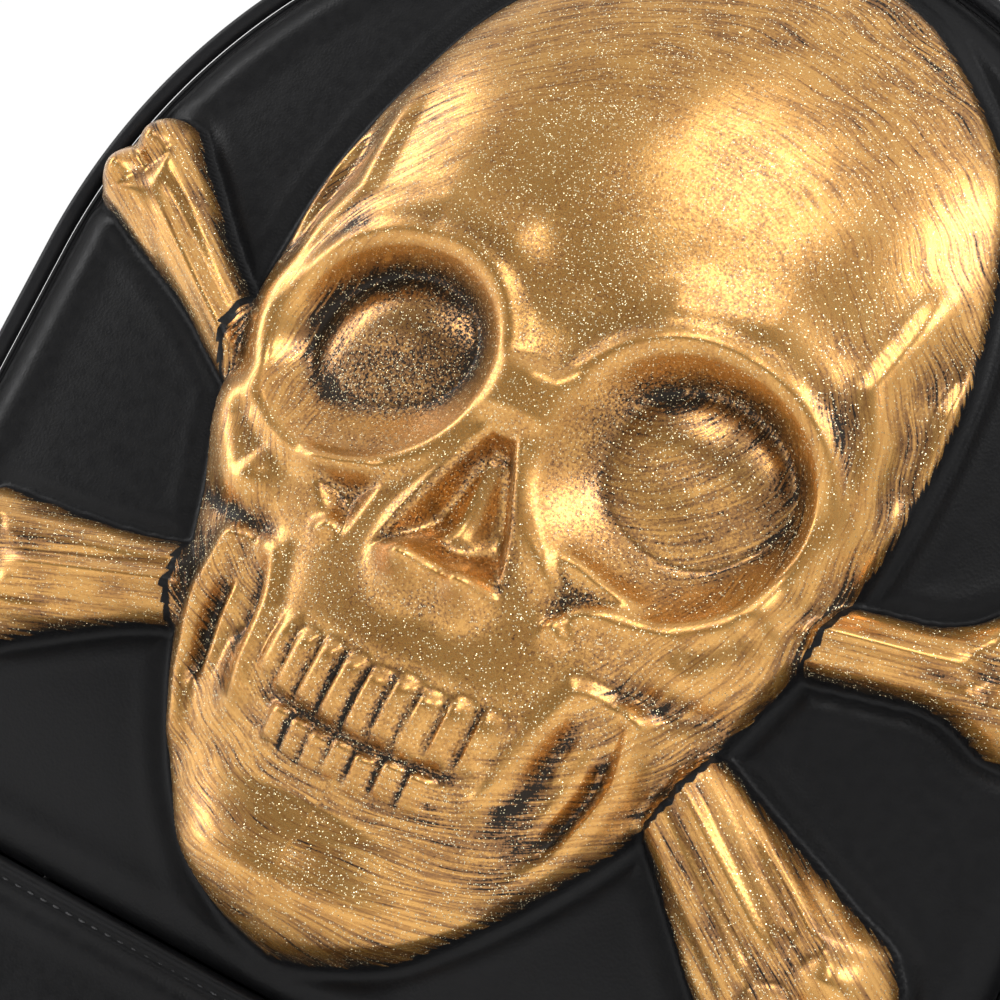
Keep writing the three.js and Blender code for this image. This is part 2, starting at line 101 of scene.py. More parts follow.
SKULL_HALF_WIDTHS = [
    (-131, 0), (-128, 13), (-120, 28), (-110, 38.5), (-98, 48), (-80, 59),
    (-60, 67), (-40, 73), (-22, 79), (0, 84), (25, 85), (50, 83),
    (70, 78), (90, 71), (105, 61), (120, 45), (131, 27), (137, 0),
]
CROWN_LEAN = 0.06
CHIN_SHIFT = 6.0
# the face is measured as angle and radius from a point this far under the middle of the eyes
FACE_DROP = 5
# two rows of teeth: middle height, height, pitch, number, how far they stand out
TEETH_ROWS = ((-70.0, 19.0, 6.7, 9, 2.7), (-84.5, 11.0, 6.1, 7, 2.2))
# each bone end: where it leaves the skull, where its knob ends,
# the half-widths of its shaft and knob, and where along it the flare starts
BONES = {
    "bone_upper_left": ((-69, -14), (-135, 31), 8.4, 15.5, 0.3),
    "bone_upper_right": ((68, -17), (130, -5), 9, 18, 0.5),
    "bone_lower_left": ((-56, -61), (-127, -83.5), 10.5, 21, 0.15),
    "bone_lower_right": ((58, -52), (118, -94), 11, 23, -0.1),
}


# ---------------------------------------------------------------- camera and light

def make_camera():
    """A long lens from the front right and a little below, rolled to the right."""
    azimuth, elevation, roll = math.radians(21.4), math.radians(-4.5), math.radians(26.6)
    distance = 0.5886
    aim = Vector((0, -0.078, 0.240))
    focal = 2.5775  # focal length over sensor width
    sensor = 36
    away = Vector((
        math.sin(azimuth) * math.cos(elevation),
        -math.cos(azimuth) * math.cos(elevation),
        math.sin(elevation),
    ))
    right = Vector((math.cos(azimuth), math.sin(azimuth), 0))
    up = away.cross(right)
    cam_right = right * math.cos(roll) + up * math.sin(roll)
    cam_up = up * math.cos(roll) - right * math.sin(roll)
    # turned slightly off the aim, so that the body sits off the middle of the picture
    target = (-away * focal + cam_right * 0.030 + cam_up * 0.109).normalized()
    back = -target
    cam_right = (cam_right - back * cam_right.dot(back)).normalized()
    cam_up = back.cross(cam_right)
    data = bpy.data.cameras.new("camera")
    data.sensor_width = sensor
    data.lens = focal * sensor
    camera = bpy.data.objects.new("camera", data)
    basis = Matrix((cam_right, cam_up, back)).transposed().to_4x4()
    camera.matrix_world = Matrix.Translation(aim + away * distance) @ basis
    bpy.context.collection.objects.link(camera)
    bpy.context.scene.camera = camera


def area_light(name, place, target, size, power):
    data = bpy.data.lights.new(name, "AREA")
    data.shape = "RECTANGLE"
    data.size, data.size_y = size
    data.energy = power
    light = bpy.data.objects.new(name, data)
    light.location = place
    light.rotation_euler = (Vector(target) - Vector(place)).to_track_quat("-Z", "Y").to_euler()
    bpy.context.collection.objects.link(light)


def make_studio():
    """Four soft lights, and a sky that brightens towards the top and the back."""
    area_light("key", (0.75, -0.75, 1.15), (0, -0.08, 0.28), (0.6, 0.6), 6)
    area_light("softbox", (-0.14, -1.04, 0.94), (0, -0.08, 0.30), (0.42, 0.5), 2.8)
    area_light("left_edge", (-1.2, -0.45, 0.5), (0, -0.05, 0.25), (0.35, 0.9), 5)
    area_light("back_fill", (0.4, 1.5, 1.2), (0, 0, 0.25), (1.2, 1.0), 22)
    world = bpy.data.worlds.new("studio")
    bpy.context.scene.world = world
    world.use_nodes = True
    nodes, links = world.node_tree.nodes, world.node_tree.links
    nodes.clear()
    coordinate = nodes.new("ShaderNodeTexCoord")
    towards = nodes.new("ShaderNodeVectorMath")
    towards.operation = "DOT_PRODUCT"
    towards.inputs[1].default_value = (0.3, 0.65, 0.7)
    ramp = nodes.new("ShaderNodeMapRange")
    ramp.interpolation_type = "SMOOTHSTEP"
    limits = {"From Min": -0.75, "From Max": 0.6, "To Min": 0.11, "To Max": 1.3}
    for name, value in limits.items():
        ramp.inputs[name].default_value = value
    shader = nodes.new("ShaderNodeBackground")
    out = nodes.new("ShaderNodeOutputWorld")
    links.new(coordinate.outputs["Generated"], towards.inputs[0])
    links.new(towards.outputs["Value"], ramp.inputs["Value"])
    links.new(ramp.outputs[0], shader.inputs["Strength"])
    links.new(shader.outputs[0], out.inputs[0])
    bpy.context.scene.view_settings.view_transform = "Standard"


# ---------------------------------------------------------------- materials

class Mat:
    """A principled material and short calls that add nodes to it."""

    def __init__(self, name, colour, roughness=0.5, metallic=0.0):
        self.material = bpy.data.materials.new(name)
        self.material.use_nodes = True
        self.nodes = self.material.node_tree.nodes
        self.links = self.material.node_tree.links
        self.shader = self.nodes["Principled BSDF"]
        self.shader.inputs["Base Color"].default_value = (*colour, 1)
        self.shader.inputs["Roughness"].default_value = roughness
        self.shader.inputs["Metallic"].default_value = metallic

    def plug(self, value, socket):
        """Link an output to the socket, or set the socket's value."""
        if hasattr(value, "is_output"):
            self.links.new(value, socket)
            return
        is_triple = hasattr(value, "__len__") and len(value) == 3
        if is_triple and len(socket.default_value) == 4:
            value = (*value, 1)
        socket.default_value = value

    def attribute(self, name, vector=False):
        node = self.nodes.new("ShaderNodeAttribute")
        node.attribute_name = name
        return node.outputs["Vector" if vector else "Fac"]

    def position(self):
        """Object coordinates in millimetres."""
        node = self.nodes.new("ShaderNodeTexCoord")
        return self.scale(node.outputs["Object"], (1000, 1000, 1000))

    def scale(self, vector, factors):
        node = self.nodes.new("ShaderNodeVectorMath")
        node.operation = "MULTIPLY"
        self.plug(vector, node.inputs[0])
        node.inputs[1].default_value = factors
        return node.outputs[0]

    def vector(self, operation, a, b):
        node = self.nodes.new("ShaderNodeVectorMath")
        node.operation = operation
        self.plug(a, node.inputs[0])
        self.plug(b, node.inputs[1])
        return node.outputs[0]

    def math(self, operation, a, b=0.0):
        node = self.nodes.new("ShaderNodeMath")
        node.operation = operation
        self.plug(a, node.inputs[0])
        self.plug(b, node.inputs[1])
        return node.outputs[0]

    def add(self, a, b):
        return self.math("ADD", a, b)

    def minus(self, a, b):
        return self.math("SUBTRACT", a, b)

    def times(self, a, b):
        return self.math("MULTIPLY", a, b)

    def step(self, value, low, high, to=(0.0, 1.0)):
        """Go smoothly from one value to another while the input goes from low to high."""
        node = self.nodes.new("ShaderNodeMapRange")
        node.interpolation_type = "SMOOTHSTEP"
        self.plug(value, node.inputs["Value"])
        limits = {"From Min": low, "From Max": high, "To Min": to[0], "To Max": to[1]}
        for name, limit in limits.items():
            node.inputs[name].default_value = limit
        return node.outputs[0]

    def cloud(self, vector, scale, detail, low, high):
        """Slow patches between two values."""
        return self.step(self.noise(vector, scale, detail), 0.3, 0.7, (low, high))

    def noise(self, vector, scale, detail=2.0, roughness=0.5):
        node = self.nodes.new("ShaderNodeTexNoise")
        self.plug(vector, node.inputs["Vector"])
        node.inputs["Scale"].default_value = scale
        node.inputs["Detail"].default_value = detail
        node.inputs["Roughness"].default_value = roughness
        return node.outputs["Fac"]

    def voronoi(self, vector, scale):
        node = self.nodes.new("ShaderNodeTexVoronoi")
        self.plug(vector, node.inputs["Vector"])
        node.inputs["Scale"].default_value = scale
        return node.outputs

    def wave(self, vector, scale, axis):
        node = self.nodes.new("ShaderNodeTexWave")
        node.bands_direction = axis
        self.plug(vector, node.inputs["Vector"])
        node.inputs["Scale"].default_value = scale
        return node.outputs["Fac"]

    def mix(self, factor, a, b):
        node = self.nodes.new("ShaderNodeMix")
        node.data_type = "RGBA"
        self.plug(factor, node.inputs[0])
        self.plug(a, node.inputs[6])
        self.plug(b, node.inputs[7])
        return node.outputs[2]

    def bump(self, height, distance):
        """distance is the height of a full step, in millimetres."""
        node = self.nodes.new("ShaderNodeBump")
        self.plug(height, node.inputs["Height"])
        node.inputs["Distance"].default_value = distance * MM
        node.inputs["Strength"].default_value = 1.0
        return node.outputs[0]

    def set(self, **sockets):
        """Plug values into the shader and return the finished material."""
        for name, value in sockets.items():
            self.plug(value, self.shader.inputs[name.replace("_", " ").title()])
        return self.material


def shade(colour, amount):
    return tuple(c * amount for c in colour)


def leather_height(mat, place, cell=0.75):
    pebbles = mat.voronoi(place, 1 / cell)["Distance"]
    creases = mat.noise(place, 0.9, 4, 0.6)
    return mat.add(mat.times(pebbles, 0.6), mat.times(creases, 0.7))


def leather(name, colour, roughness, cell, depth):
    mat = Mat(name, colour, roughness)
    place = mat.position()
    tint = mat.mix(mat.cloud(place, 0.02, 3, 0, 1), shade(colour, 0.85), shade(colour, 1.2))
    shine = mat.cloud(place, 0.35, 3, roughness - 0.05, roughness + 0.07)
    mat.shader.inputs["Specular IOR Level"].default_value = LEATHER_SPECULAR
    grain = mat.bump(leather_height(mat, place, cell), depth)
    return mat.set(base_color=tint, roughness=shine, normal=grain)


def painted_front():
    """Black leather, with brushed gold paint and glitter where the attribute "paint" says so.

    "dark" is how much of the black under the paint shows, and also painted shade in the creases
    and hollows of the face; "brush" how streaky the paint is,
    and "stroke" the position along and across the way the brush went.
    """
    mat = Mat("painted_front", LEATHER_BLACK, 0.5)
    place = mat.position()
    stroke = mat.attribute("stroke", vector=True)
    paint, dark, brush = (mat.attribute(name) for name in ("paint", "dark", "brush"))

    def swing(value, amount):
        return mat.times(mat.minus(value, 0.5), amount)

    # uneven paint: streaks where it was brushed, mottled and speckled where it was dabbed
    fine = mat.noise(mat.scale(stroke, (0.07, 1.7, 0)), 1.0, 2, 0.6)
    broad = mat.noise(mat.scale(stroke, (0.035, 0.55, 0)), 1.0, 3, 0.6)
    streak = mat.add(mat.times(fine, 0.6), mat.times(broad, 0.4))
    speck = mat.noise(place, 1.5, 3, 0.75)
    mottle = mat.noise(place, 0.09, 4, 0.6)
    calm = mat.minus(1.0, brush)
    pattern = mat.add(swing(mottle, 0.32), mat.times(swing(streak, 1.25), brush))
    pattern = mat.add(pattern, mat.times(swing(speck, 0.75), mat.add(calm, 0.35)))
    # where the paint is worn and where the dark field is high, the black shows through and the gold thins;
    # the dark field also carries painted shade in the face's creases and hollows
    wear_and_shade = mat.add(pattern, mat.times(dark, 0.34))
    bare_and_shaded = mat.step(wear_and_shade, 0.17, 0.25)
    thin_and_shaded = mat.step(wear_and_shade, -0.02, 0.20)
    ragged = mat.add(mat.minus(paint, pattern), swing(speck, 0.6))
    cover = mat.step(ragged, 0.36, 0.46)
    # glitter: some of the cells, each turned its own way
    cells = mat.voronoi(place, 2.5)
    chance = mat.nodes.new("ShaderNodeSeparateColor")
    mat.plug(cells["Color"], chance.inputs[0])
    dusted = mat.cloud(place, 0.05, 2, 0.86, 0.70)
    chosen = mat.math("GREATER_THAN", chance.outputs[0], dusted)
    fleck = mat.times(mat.times(chosen, mat.step(cells["Distance"], 0.42, 0.30)), cover)
    # colour and shine
    gold = mat.mix(mat.step(pattern, -0.12, 0.10), (0.67, 0.34, 0.070), (0.50, 0.225, 0.034))
    gold = mat.mix(thin_and_shaded, gold, (0.22, 0.088, 0.013))
    gold = mat.mix(bare_and_shaded, gold, (0.020, 0.014, 0.009))
    colour = mat.mix(cover, LEATHER_BLACK, gold)
    colour = mat.mix(fleck, colour, (1.0, 0.90, 0.58))
    shown = mat.times(cover, mat.minus(1.0, bare_and_shaded))
    metallic = mat.times(mat.math("MAXIMUM", shown, fleck), 0.80)
    roughness = mat.nodes.new("ShaderNodeMix")
    mat.plug(shown, roughness.inputs[0])
    mat.plug(mat.cloud(place, 0.35, 3, 0.36, 0.46), roughness.inputs[2])
    mat.plug(mat.step(pattern, -0.12, 0.12, (0.21, 0.37)), roughness.inputs[3])
    # grain, softened under the paint, and the thickness of the paint
    grain = mat.times(leather_height(mat, place), mat.step(shown, 0.0, 1.0, (0.9, 0.22)))
    height = mat.add(grain, mat.times(mat.minus(0.0, wear_and_shade), mat.times(cover, 0.5)))
    tilt = mat.nodes.new("ShaderNodeVectorMath")
    tilt.operation = "SCALE"
    mat.plug(mat.vector("SUBTRACT", cells["Color"], (0.5, 0.5, 0.5)), tilt.inputs[0])
    mat.plug(mat.times(fleck, 1.2), tilt.inputs[3])
    turned = mat.vector("ADD", mat.bump(height, 0.07), tilt.outputs[0])
    mat.shader.inputs["Specular IOR Level"].default_value = LEATHER_SPECULAR
    mat.shader.inputs["Coat Roughness"].default_value = 0.30
    mat.shader.inputs["Coat IOR"].default_value = 2.0
    return mat.set(
        base_color=colour, metallic=metallic, roughness=roughness.outputs[0],
        normal=mat.vector("NORMALIZE", turned, (0, 0, 0)), coat_weight=mat.times(shown, 0.42),
    )


def woven(name, colour, pitch, roughness=0.85, diagonal=False):
    mat = Mat(name, colour, roughness)
    place = mat.position()
    if diagonal:
        turn = mat.nodes.new("ShaderNodeVectorRotate")
        turn.rotation_type = "Y_AXIS"
        turn.inputs["Angle"].default_value = math.radians(45)
        mat.plug(place, turn.inputs["Vector"])
        place = turn.outputs[0]
    across, up = (mat.wave(place, 1 / pitch / 3.2, axis) for axis in "XZ")
    weave = mat.math("MAXIMUM", across, up)
    tint = mat.mix(weave, shade(colour, 0.45), shade(colour, 1.35))
    cloud = mat.cloud(place, 0.06, 2, roughness - 0.06, roughness + 0.06)
    mat.shader.inputs["Sheen Weight"].default_value = 0.25
    mat.shader.inputs["Sheen Roughness"].default_value = 0.5
    return mat.set(base_color=tint, roughness=cloud, normal=mat.bump(weave, 0.25))


def spacer_mesh(name, colour):
    """Knitted mesh with rows of small open holes."""
    mat = Mat(name, colour, 0.9)
    place = mat.position()
    parts = mat.nodes.new("ShaderNodeSeparateXYZ")
    mat.plug(mat.scale(place, (2.1, 1.0, 1.8)), parts.inputs[0])
    across = mat.math("SINE", mat.add(parts.outputs[0], mat.times(parts.outputs[2], 0.5)))
    up = mat.math("SINE", parts.outputs[2])
    hole = mat.step(mat.times(across, up), 0.15, 0.55)
    knit = mat.noise(place, 1.6, 3)
    tint = mat.mix(hole, shade(colour, 1.3), shade(colour, 0.25))
    tint = mat.mix(mat.step(knit, 0.35, 0.7, (0.0, 0.5)), tint, shade(colour, 0.7))
    rough = mat.step(knit, 0.3, 0.7, (0.82, 0.95))
    mat.shader.inputs["Sheen Weight"].default_value = 0.3
    height = mat.minus(mat.times(knit, 0.3), hole)
    return mat.set(base_color=tint, roughness=rough, normal=mat.bump(height, 0.5))


def metal(name, colour, roughness):
    mat = Mat(name, colour, roughness, 1.0)
    place = mat.position()
    scratches = mat.noise(mat.scale(place, (0.4, 5, 5)), 1.0, 3)
    cloud = mat.cloud(place, 0.3, 3, roughness - 0.06, roughness + 0.1)
    return mat.set(roughness=cloud, normal=mat.bump(scratches, 0.012))


def plastic(name, colour, roughness):
    mat = Mat(name, colour, roughness)
    place = mat.position()
    cloud = mat.cloud(place, 0.2, 2, roughness - 0.05, roughness + 0.08)
    return mat.set(roughness=cloud, normal=mat.bump(mat.noise(place, 2.2, 3), 0.03))


def thread(name, colour):
    mat = Mat(name, colour, 0.6)
    twist = mat.wave(mat.position(), 0.9, "DIAGONAL")
    tint = mat.mix(twist, shade(colour, 0.6), colour)
    return mat.set(base_color=tint, normal=mat.bump(twist, 0.06))


def make_materials():
    return {
        "front": painted_front(),
        "leather": leather("grain_leather", LEATHER_BLACK, 0.41, 0.75, 0.07),
        "smooth": leather("smooth_leather", (0.010, 0.010, 0.011), 0.40, 0.6, 0.045),
        "lining": woven("lining_cloth", (0.055, 0.050, 0.052), 0.55),
        "webbing": woven("webbing", (0.020, 0.020, 0.021), 0.9, 0.8, diagonal=True),
        "tape": woven("zip_tape", (0.018, 0.018, 0.019), 0.5),
        "mesh": spacer_mesh("spacer_mesh", (0.028, 0.028, 0.030)),
        "metal": metal("dark_metal", (0.13, 0.12, 0.11), 0.32),
        "teeth": plastic("zip_coil", (0.022, 0.022, 0.023), 0.35),
        "buckle": plastic("buckle_plastic", (0.018, 0.018, 0.018), 0.45),
        "thread": thread("black_thread", (0.09, 0.09, 0.092)),
    }


# ---------------------------------------------------------------- mesh helpers

def make_object(name, vertices, faces, materials, indices=None, smooth=True):
    mesh = bpy.data.meshes.new(name)
    mesh.from_pydata((np.asarray(vertices) * MM).tolist(), [], [tuple(map(int, f)) for f in faces])
    for material in materials:
        mesh.materials.append(material)
    if indices is not None:
        mesh.polygons.foreach_set("material_index", np.asarray(indices, dtype=np.int32))
    mesh.polygons.foreach_set("use_smooth", [smooth] * len(mesh.polygons))
    mesh.validate()
    mesh.update()
    obj = bpy.data.objects.new(name, mesh)
    bpy.context.collection.objects.link(obj)
    return obj


def box_mm(name):
    """x0, y0, z0, x1, y1, z1 of a node's box, in millimetres."""
    low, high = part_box(name)
    return [value / MM for value in (*low, *high)]


def finish_piece(obj, body, nodes=()):
    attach(obj, body)
    if nodes:
        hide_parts(*nodes)


def grid_faces(rows, columns, wrap_rows=False, wrap_columns=False, offset=0):
    r = np.arange(rows if wrap_rows else rows - 1)
    c = np.arange(columns if wrap_columns else columns - 1)
    rr, cc = np.meshgrid(r, c, indexing="ij")
    r2, c2 = (rr + 1) % rows, (cc + 1) % columns
    quads = np.stack([rr * columns + cc, rr * columns + c2, r2 * columns + c2, r2 * columns + cc], -1)
    return quads.reshape(-1, 4) + offset


def resample(points, step, closed=False):
    points = np.asarray(points, dtype=float)
    if closed:
        points = np.vstack([points, points[:1]])
    length = np.concatenate([[0], np.cumsum(np.linalg.norm(np.diff(points, axis=0), axis=1))])
    count = max(int(round(length[-1] / step)), 2)
    at = np.linspace(0, length[-1], count + 1)
    if closed:
        at = at[:-1]
    return np.stack([np.interp(at, length, points[:, k]) for k in range(points.shape[1])], 1)


def catmull(points, per=12):
    """A smooth open line through the points."""
    points = np.asarray(points, dtype=float)
    padded = np.vstack([2 * points[0] - points[1], points, 2 * points[-1] - points[-2]])
    out = []
    for i in range(1, len(padded) - 2):
        p0, p1, p2, p3 = padded[i - 1:i + 3]
        for t in np.arange(per) / per:
            out.append(0.5 * (2 * p1 + (p2 - p0) * t + (2 * p0 - 5 * p1 + 4 * p2 - p3) * t ** 2
                              + (3 * p1 - p0 - 3 * p2 + p3) * t ** 3))
    out.append(padded[-2])
    return np.array(out)


def sweep(path, side, lift, section, closed=False):
    """Vertices and faces of a section (a closed loop of (side, lift) offsets) carried along a path.

    side and lift are unit vectors at each path point. Open paths are capped.
    section may be one loop or one loop per path point.
    """
    path, side, lift = (np.asarray(a, dtype=float) for a in (path, side, lift))
    section = np.asarray(section, dtype=float)
    if section.ndim == 2:
        section = np.broadcast_to(section, (len(path), *section.shape))
    rings = path[:, None] + side[:, None] * section[:, :, :1] + lift[:, None] * section[:, :, 1:]
    n, m = rings.shape[:2]
    faces = [list(f) for f in grid_faces(n, m, wrap_rows=closed, wrap_columns=True)]
    vertices = rings.reshape(-1, 3)
    if not closed:
        for ring, start in ((range(m), 0), (range(m - 1, -1, -1), (n - 1) * m)):
            centre = len(vertices)
            loop = [start + i for i in ring]
            vertices = np.vstack([vertices, vertices[loop].mean(0)])
            faces += [[loop[(i + 1) % m], loop[i], centre] for i in range(m)]
    return vertices, faces


def circle(radius, count):
    a = np.linspace(0, 2 * np.pi, count, endpoint=False)
    return np.stack([radius * np.cos(a), radius * np.sin(a)], 1)


def soft_rectangle(width, height, radius, per=4, crown=0.0, across=8):
    """A rounded rectangle, its long sides pushed out by crown in the middle."""
    hw, hh = width / 2, height / 2
    points = []
    for cx, cy, start in ((hw - radius, -hh + radius, -90), (hw - radius, hh - radius, 0),
                          (-hw + radius, hh - radius, 90), (-hw + radius, -hh + radius, 180)):
        for k in range(per + 1):
            a = math.radians(start + 90 * k / per)
            points.append((cx + radius * math.cos(a), cy + radius * math.sin(a)))
        if start in (0, 180):
            sign = 1 if start == 0 else -1
            for k in range(1, across):
                points.append((sign * (hw - radius) * (1 - 2 * k / across), sign * hh))
    points = np.array(points)
    bulge = crown * np.clip(1 - (points[:, 0] / hw) ** 2, 0, 1)
    points[:, 1] += np.sign(points[:, 1]) * bulge
    return points


def arc_points(cx, cz, radius, start, end, step):
    count = max(int(abs(math.radians(end - start)) * radius / step), 3)
    a = np.radians(np.linspace(start, end, count + 1))
    return np.stack([cx + radius * np.cos(a), cz + radius * np.sin(a)], 1)


def outline_sizes(inset):
    """Half-width, lowest point and corner radius of the body's outline, moved inwards."""
    return HALF - inset, BOTTOM + inset, CORNER - inset


def body_outline(inset, step=3.0):
    half, bottom, r = outline_sizes(inset)
    return np.vstack([
        arc_points(half - r, bottom + r, r, -90, 0, step),
        resample([(half, bottom + r), (half, ARCH_Z)], step)[1:-1],
        arc_points(0, ARCH_Z, half, 0, 180, step),
        resample([(-half, ARCH_Z), (-half, bottom + r)], step)[1:-1],
        arc_points(-half + r, bottom + r, r, 180, 270, step),
        resample([(-half + r, bottom), (half - r, bottom)], step)[1:-1],
    ])


def low_outline(inset, step, top):
    """The outline under the door: down the left side, round the corners and up the right side."""
    half, bottom, r = outline_sizes(inset)
    return np.vstack([
        resample([(-half, top), (-half, bottom + r)], step)[:-1],
        arc_points(-half + r, bottom + r, r, 180, 270, step)[:-1],
        resample([(-half + r, bottom), (half - r, bottom)], step)[:-1],
        arc_points(half - r, bottom + r, r, 270, 360, step)[:-1],
        resample([(half, bottom + r), (half, top)], step),
    ])


def arch_outline(inset, step, low):
    half = HALF - inset
    return np.vstack([
        resample([(half, low), (half, ARCH_Z)], step)[:-1],
        arc_points(0, ARCH_Z, half, 0, 180, step),
        resample([(-half, ARCH_Z), (-half, low)], step)[1:],
    ])


def directions(points, closed=False):
    """Unit vectors along a line."""
    if closed:
        along = np.roll(points, -1, 0) - np.roll(points, 1, 0)
    else:
        along = np.gradient(points, axis=0)
    return along / np.linalg.norm(along, axis=1, keepdims=True)


def outward(points, closed=False):
    """Unit normals in the xz plane of a counter-clockwise outline."""
    along = directions(points, closed)
    return np.stack([along[:, 1], -along[:, 0]], 1)


def in_xz(points, y):
    y = np.broadcast_to(y, len(points))
    return np.stack([points[:, 0], y, points[:, 1]], 1)


def scaled(section, wide=1.0, tall=1.0):
    """One copy of a section for each value of wide or tall."""
    factors = np.stack(np.broadcast_arrays(wide, tall), -1)
    return section[None] * factors[:, None]


def swept(name, path, side, lift, section, materials):
    return make_object(name, *sweep(path, side, lift, section), materials)


def ring_sweep(name, outline, y, section, materials, closed):
    """A section carried round an outline in the xz plane.

    The first axis of the section is y, and its second points outwards.
    """
    out = in_xz(outward(outline, closed), 0)
    depth = np.broadcast_to(BEHIND, out.shape)
    vertices, faces = sweep(in_xz(outline, y), depth, out, section, closed)
    obj = make_object(name, vertices, faces, materials)
    merge_points(obj)
    return obj


# ---------------------------------------------------------------- stitches

def stitch_run(path, normal, pitch=STITCH_PITCH, length=2.4, radius=0.34, closed=False):
    """Rows of sunk thread: each stitch is a small spindle lying along the path."""
    path = np.asarray(path, dtype=float)
    both = resample(np.hstack([path, np.broadcast_to(normal, path.shape)]), pitch, closed)
    at, up = both[:, :3], both[:, 3:]
    up = up / np.linalg.norm(up, axis=1, keepdims=True)
    along = directions(at, closed)
    side = np.cross(along, up)
    # along the stitch, its thickness there, and how high the thread lies
    rings = [(-0.5, 0.25, -0.35), (-0.3, 0.9, 0.0), (0.0, 1.0, 0.2), (0.3, 0.9, 0.0), (0.5, 0.25, -0.35)]
    turn = np.radians(np.arange(0, 360, 60))
    vertices, faces = [], []
    for p, a, s, u in zip(at, along, side, up):
        start = len(vertices)
        for t, r, sink in rings:
            centre = p + a * (t * length) + u * (sink * radius)
            vertices += [centre + (s * math.cos(q) * 1.15 + u * math.sin(q)) * r * radius for q in turn]
        faces += [list(f) for f in grid_faces(len(rings), 6, wrap_columns=True, offset=start)]
        last = len(vertices) - 6
        faces += [[start + i for i in range(5, -1, -1)], [last + i for i in range(6)]]
    return vertices, faces


def join(parts):
    """One list of vertices and one of faces from several parts."""
    vertices, faces = [], []
    for part_vertices, part_faces in parts:
        faces += [[i + len(vertices) for i in face] for face in part_faces]
        vertices += part_vertices
    return vertices, faces


def stitches(name, runs, body, mats):
    vertices, faces = join(stitch_run(**run) for run in runs)
    finish_piece(make_object(name, vertices, faces, [mats["thread"]]), body)


# ---------------------------------------------------------------- the moulded front

def smooth(value, low, high):
    t = np.clip((value - low) / (high - low), 0, 1)
    return t * t * (3 - 2 * t)


def blob(x, z, cx, cz, rx, rz, turn=0.0):
    c, s = math.cos(math.radians(turn)), math.sin(math.radians(turn))
    u, v = (x - cx) * c + (z - cz) * s, -(x - cx) * s + (z - cz) * c
    return np.exp(-(u / rx) ** 2 - (v / rz) ** 2)


def ridge(x, z, points, width, fade=0.25):
    """A soft ridge along a line of points, fading towards both ends."""
    best = np.zeros_like(x)
    total = sum(math.dist(a, b) for a, b in zip(points, points[1:]))
    run = 0.0
    for a, b in zip(points, points[1:]):
        dx, dz = b[0] - a[0], b[1] - a[1]
        span = math.hypot(dx, dz)
        t = np.clip(((x - a[0]) * dx + (z - a[1]) * dz) / span ** 2, 0, 1)
        far = np.hypot(x - a[0] - t * dx, z - a[1] - t * dz)
        along = (run + t * span) / total
        ends = smooth(along, -0.02, fade) * smooth(1 - along, -0.02, fade)
        best = np.maximum(best, np.exp(-(far / width) ** 2) * ends)
        run += span
    return best


def lean(up):
    """How far the skull's middle line stands to the right at a height."""
    return np.where(up > 0, CROWN_LEAN * up, -CHIN_SHIFT * smooth(-up, 50, 130))


def skull_radius():
    """The skull outline's radius from its middle, as a table over the angle."""
    right = [(w, z) for z, w in SKULL_HALF_WIDTHS]
    left = [(-w, z) for z, w in SKULL_HALF_WIDTHS[-2:0:-1]]
    loop = right + left
    per, extra = 16, 3
    curve = catmull(loop[-extra:] + loop + loop[:extra], per)[extra * per:-extra * per]
    angle = np.arctan2(curve[:, 0], curve[:, 1] + FACE_DROP)
    order = np.argsort(angle)
    return angle[order], np.hypot(curve[:, 0], curve[:, 1] + FACE_DROP)[order]


def door_dome(x, z):
    side = np.where(z > 0, np.hypot(x, z), np.abs(x)) / HALF
    down = np.clip(-z / (ARCH_Z - SEAM_Z), 0, None)
    return DOME * np.clip(1 - side ** 4, 0, None) * np.clip(1 - down ** 4, 0, None)


def wedge(x, z, corners, soft):
    """1 inside a convex outline given clockwise, falling smoothly to 0 at its edges."""
    inside = np.full_like(x, np.inf)
    for a, b in zip(corners, corners[1:] + corners[:1]):
        dx, dz = b[0] - a[0], b[1] - a[1]
        inside = np.minimum(inside, ((z - a[1]) * -dx + (x - a[0]) * dz) / math.hypot(dx, dz))
    return smooth(inside, 0, soft)


def teeth_relief(x, z):
    """Height of the slightly uneven teeth on the muzzle, and the gaps between them from 0 to 1."""
    h, gap = np.zeros_like(x), np.zeros_like(x)
    for row, (centre_z, tall, pitch, count, rise) in enumerate(TEETH_ROWS):
        for i in range(count):
            wobble = math.sin(5.1 * i + 2.3 * row)
            cx = (i - (count - 1) / 2) * pitch + 0.45 * wobble
            cz = centre_z + 0.004 * cx ** 2 + 0.7 * math.cos(3.7 * i + row)
            u = np.abs((x - cx) / (pitch * (0.47 + 0.02 * wobble)))
            v = np.abs((z - cz) / (tall / 2))
            body = np.clip(1 - u ** 2.6, 0, None) ** 0.5 * smooth(1 - v, 0, 0.45)
            h = np.maximum(h, rise * body)
            if i:
                side = np.exp(-((x - cx + pitch * 0.5) / 0.95) ** 2)
                gap = np.maximum(gap, side * smooth(1 - v, 0.02, 0.4) * (0.75 + 0.25 * wobble))
    return h, gap


def socket_distance(x, z):
    """0 on an eye socket's floor and 1 at its rim: the floor sits high, over a wide lower slope."""
    wide, cos, sin = 29.0, 0.97, 0.24
    across, up = np.abs(x) - 39.5, z - 3
    u = across * cos - up * sin
    v = across * sin + up * cos
    tall = 25.5 + np.where(x > 0, 6.5 * smooth(-v, 0, 14), 0)
    lift = 13.0 * np.clip(1 - np.hypot(u / wide, v / tall), 0, None)
    return np.hypot(u / wide, (v - lift) / tall)


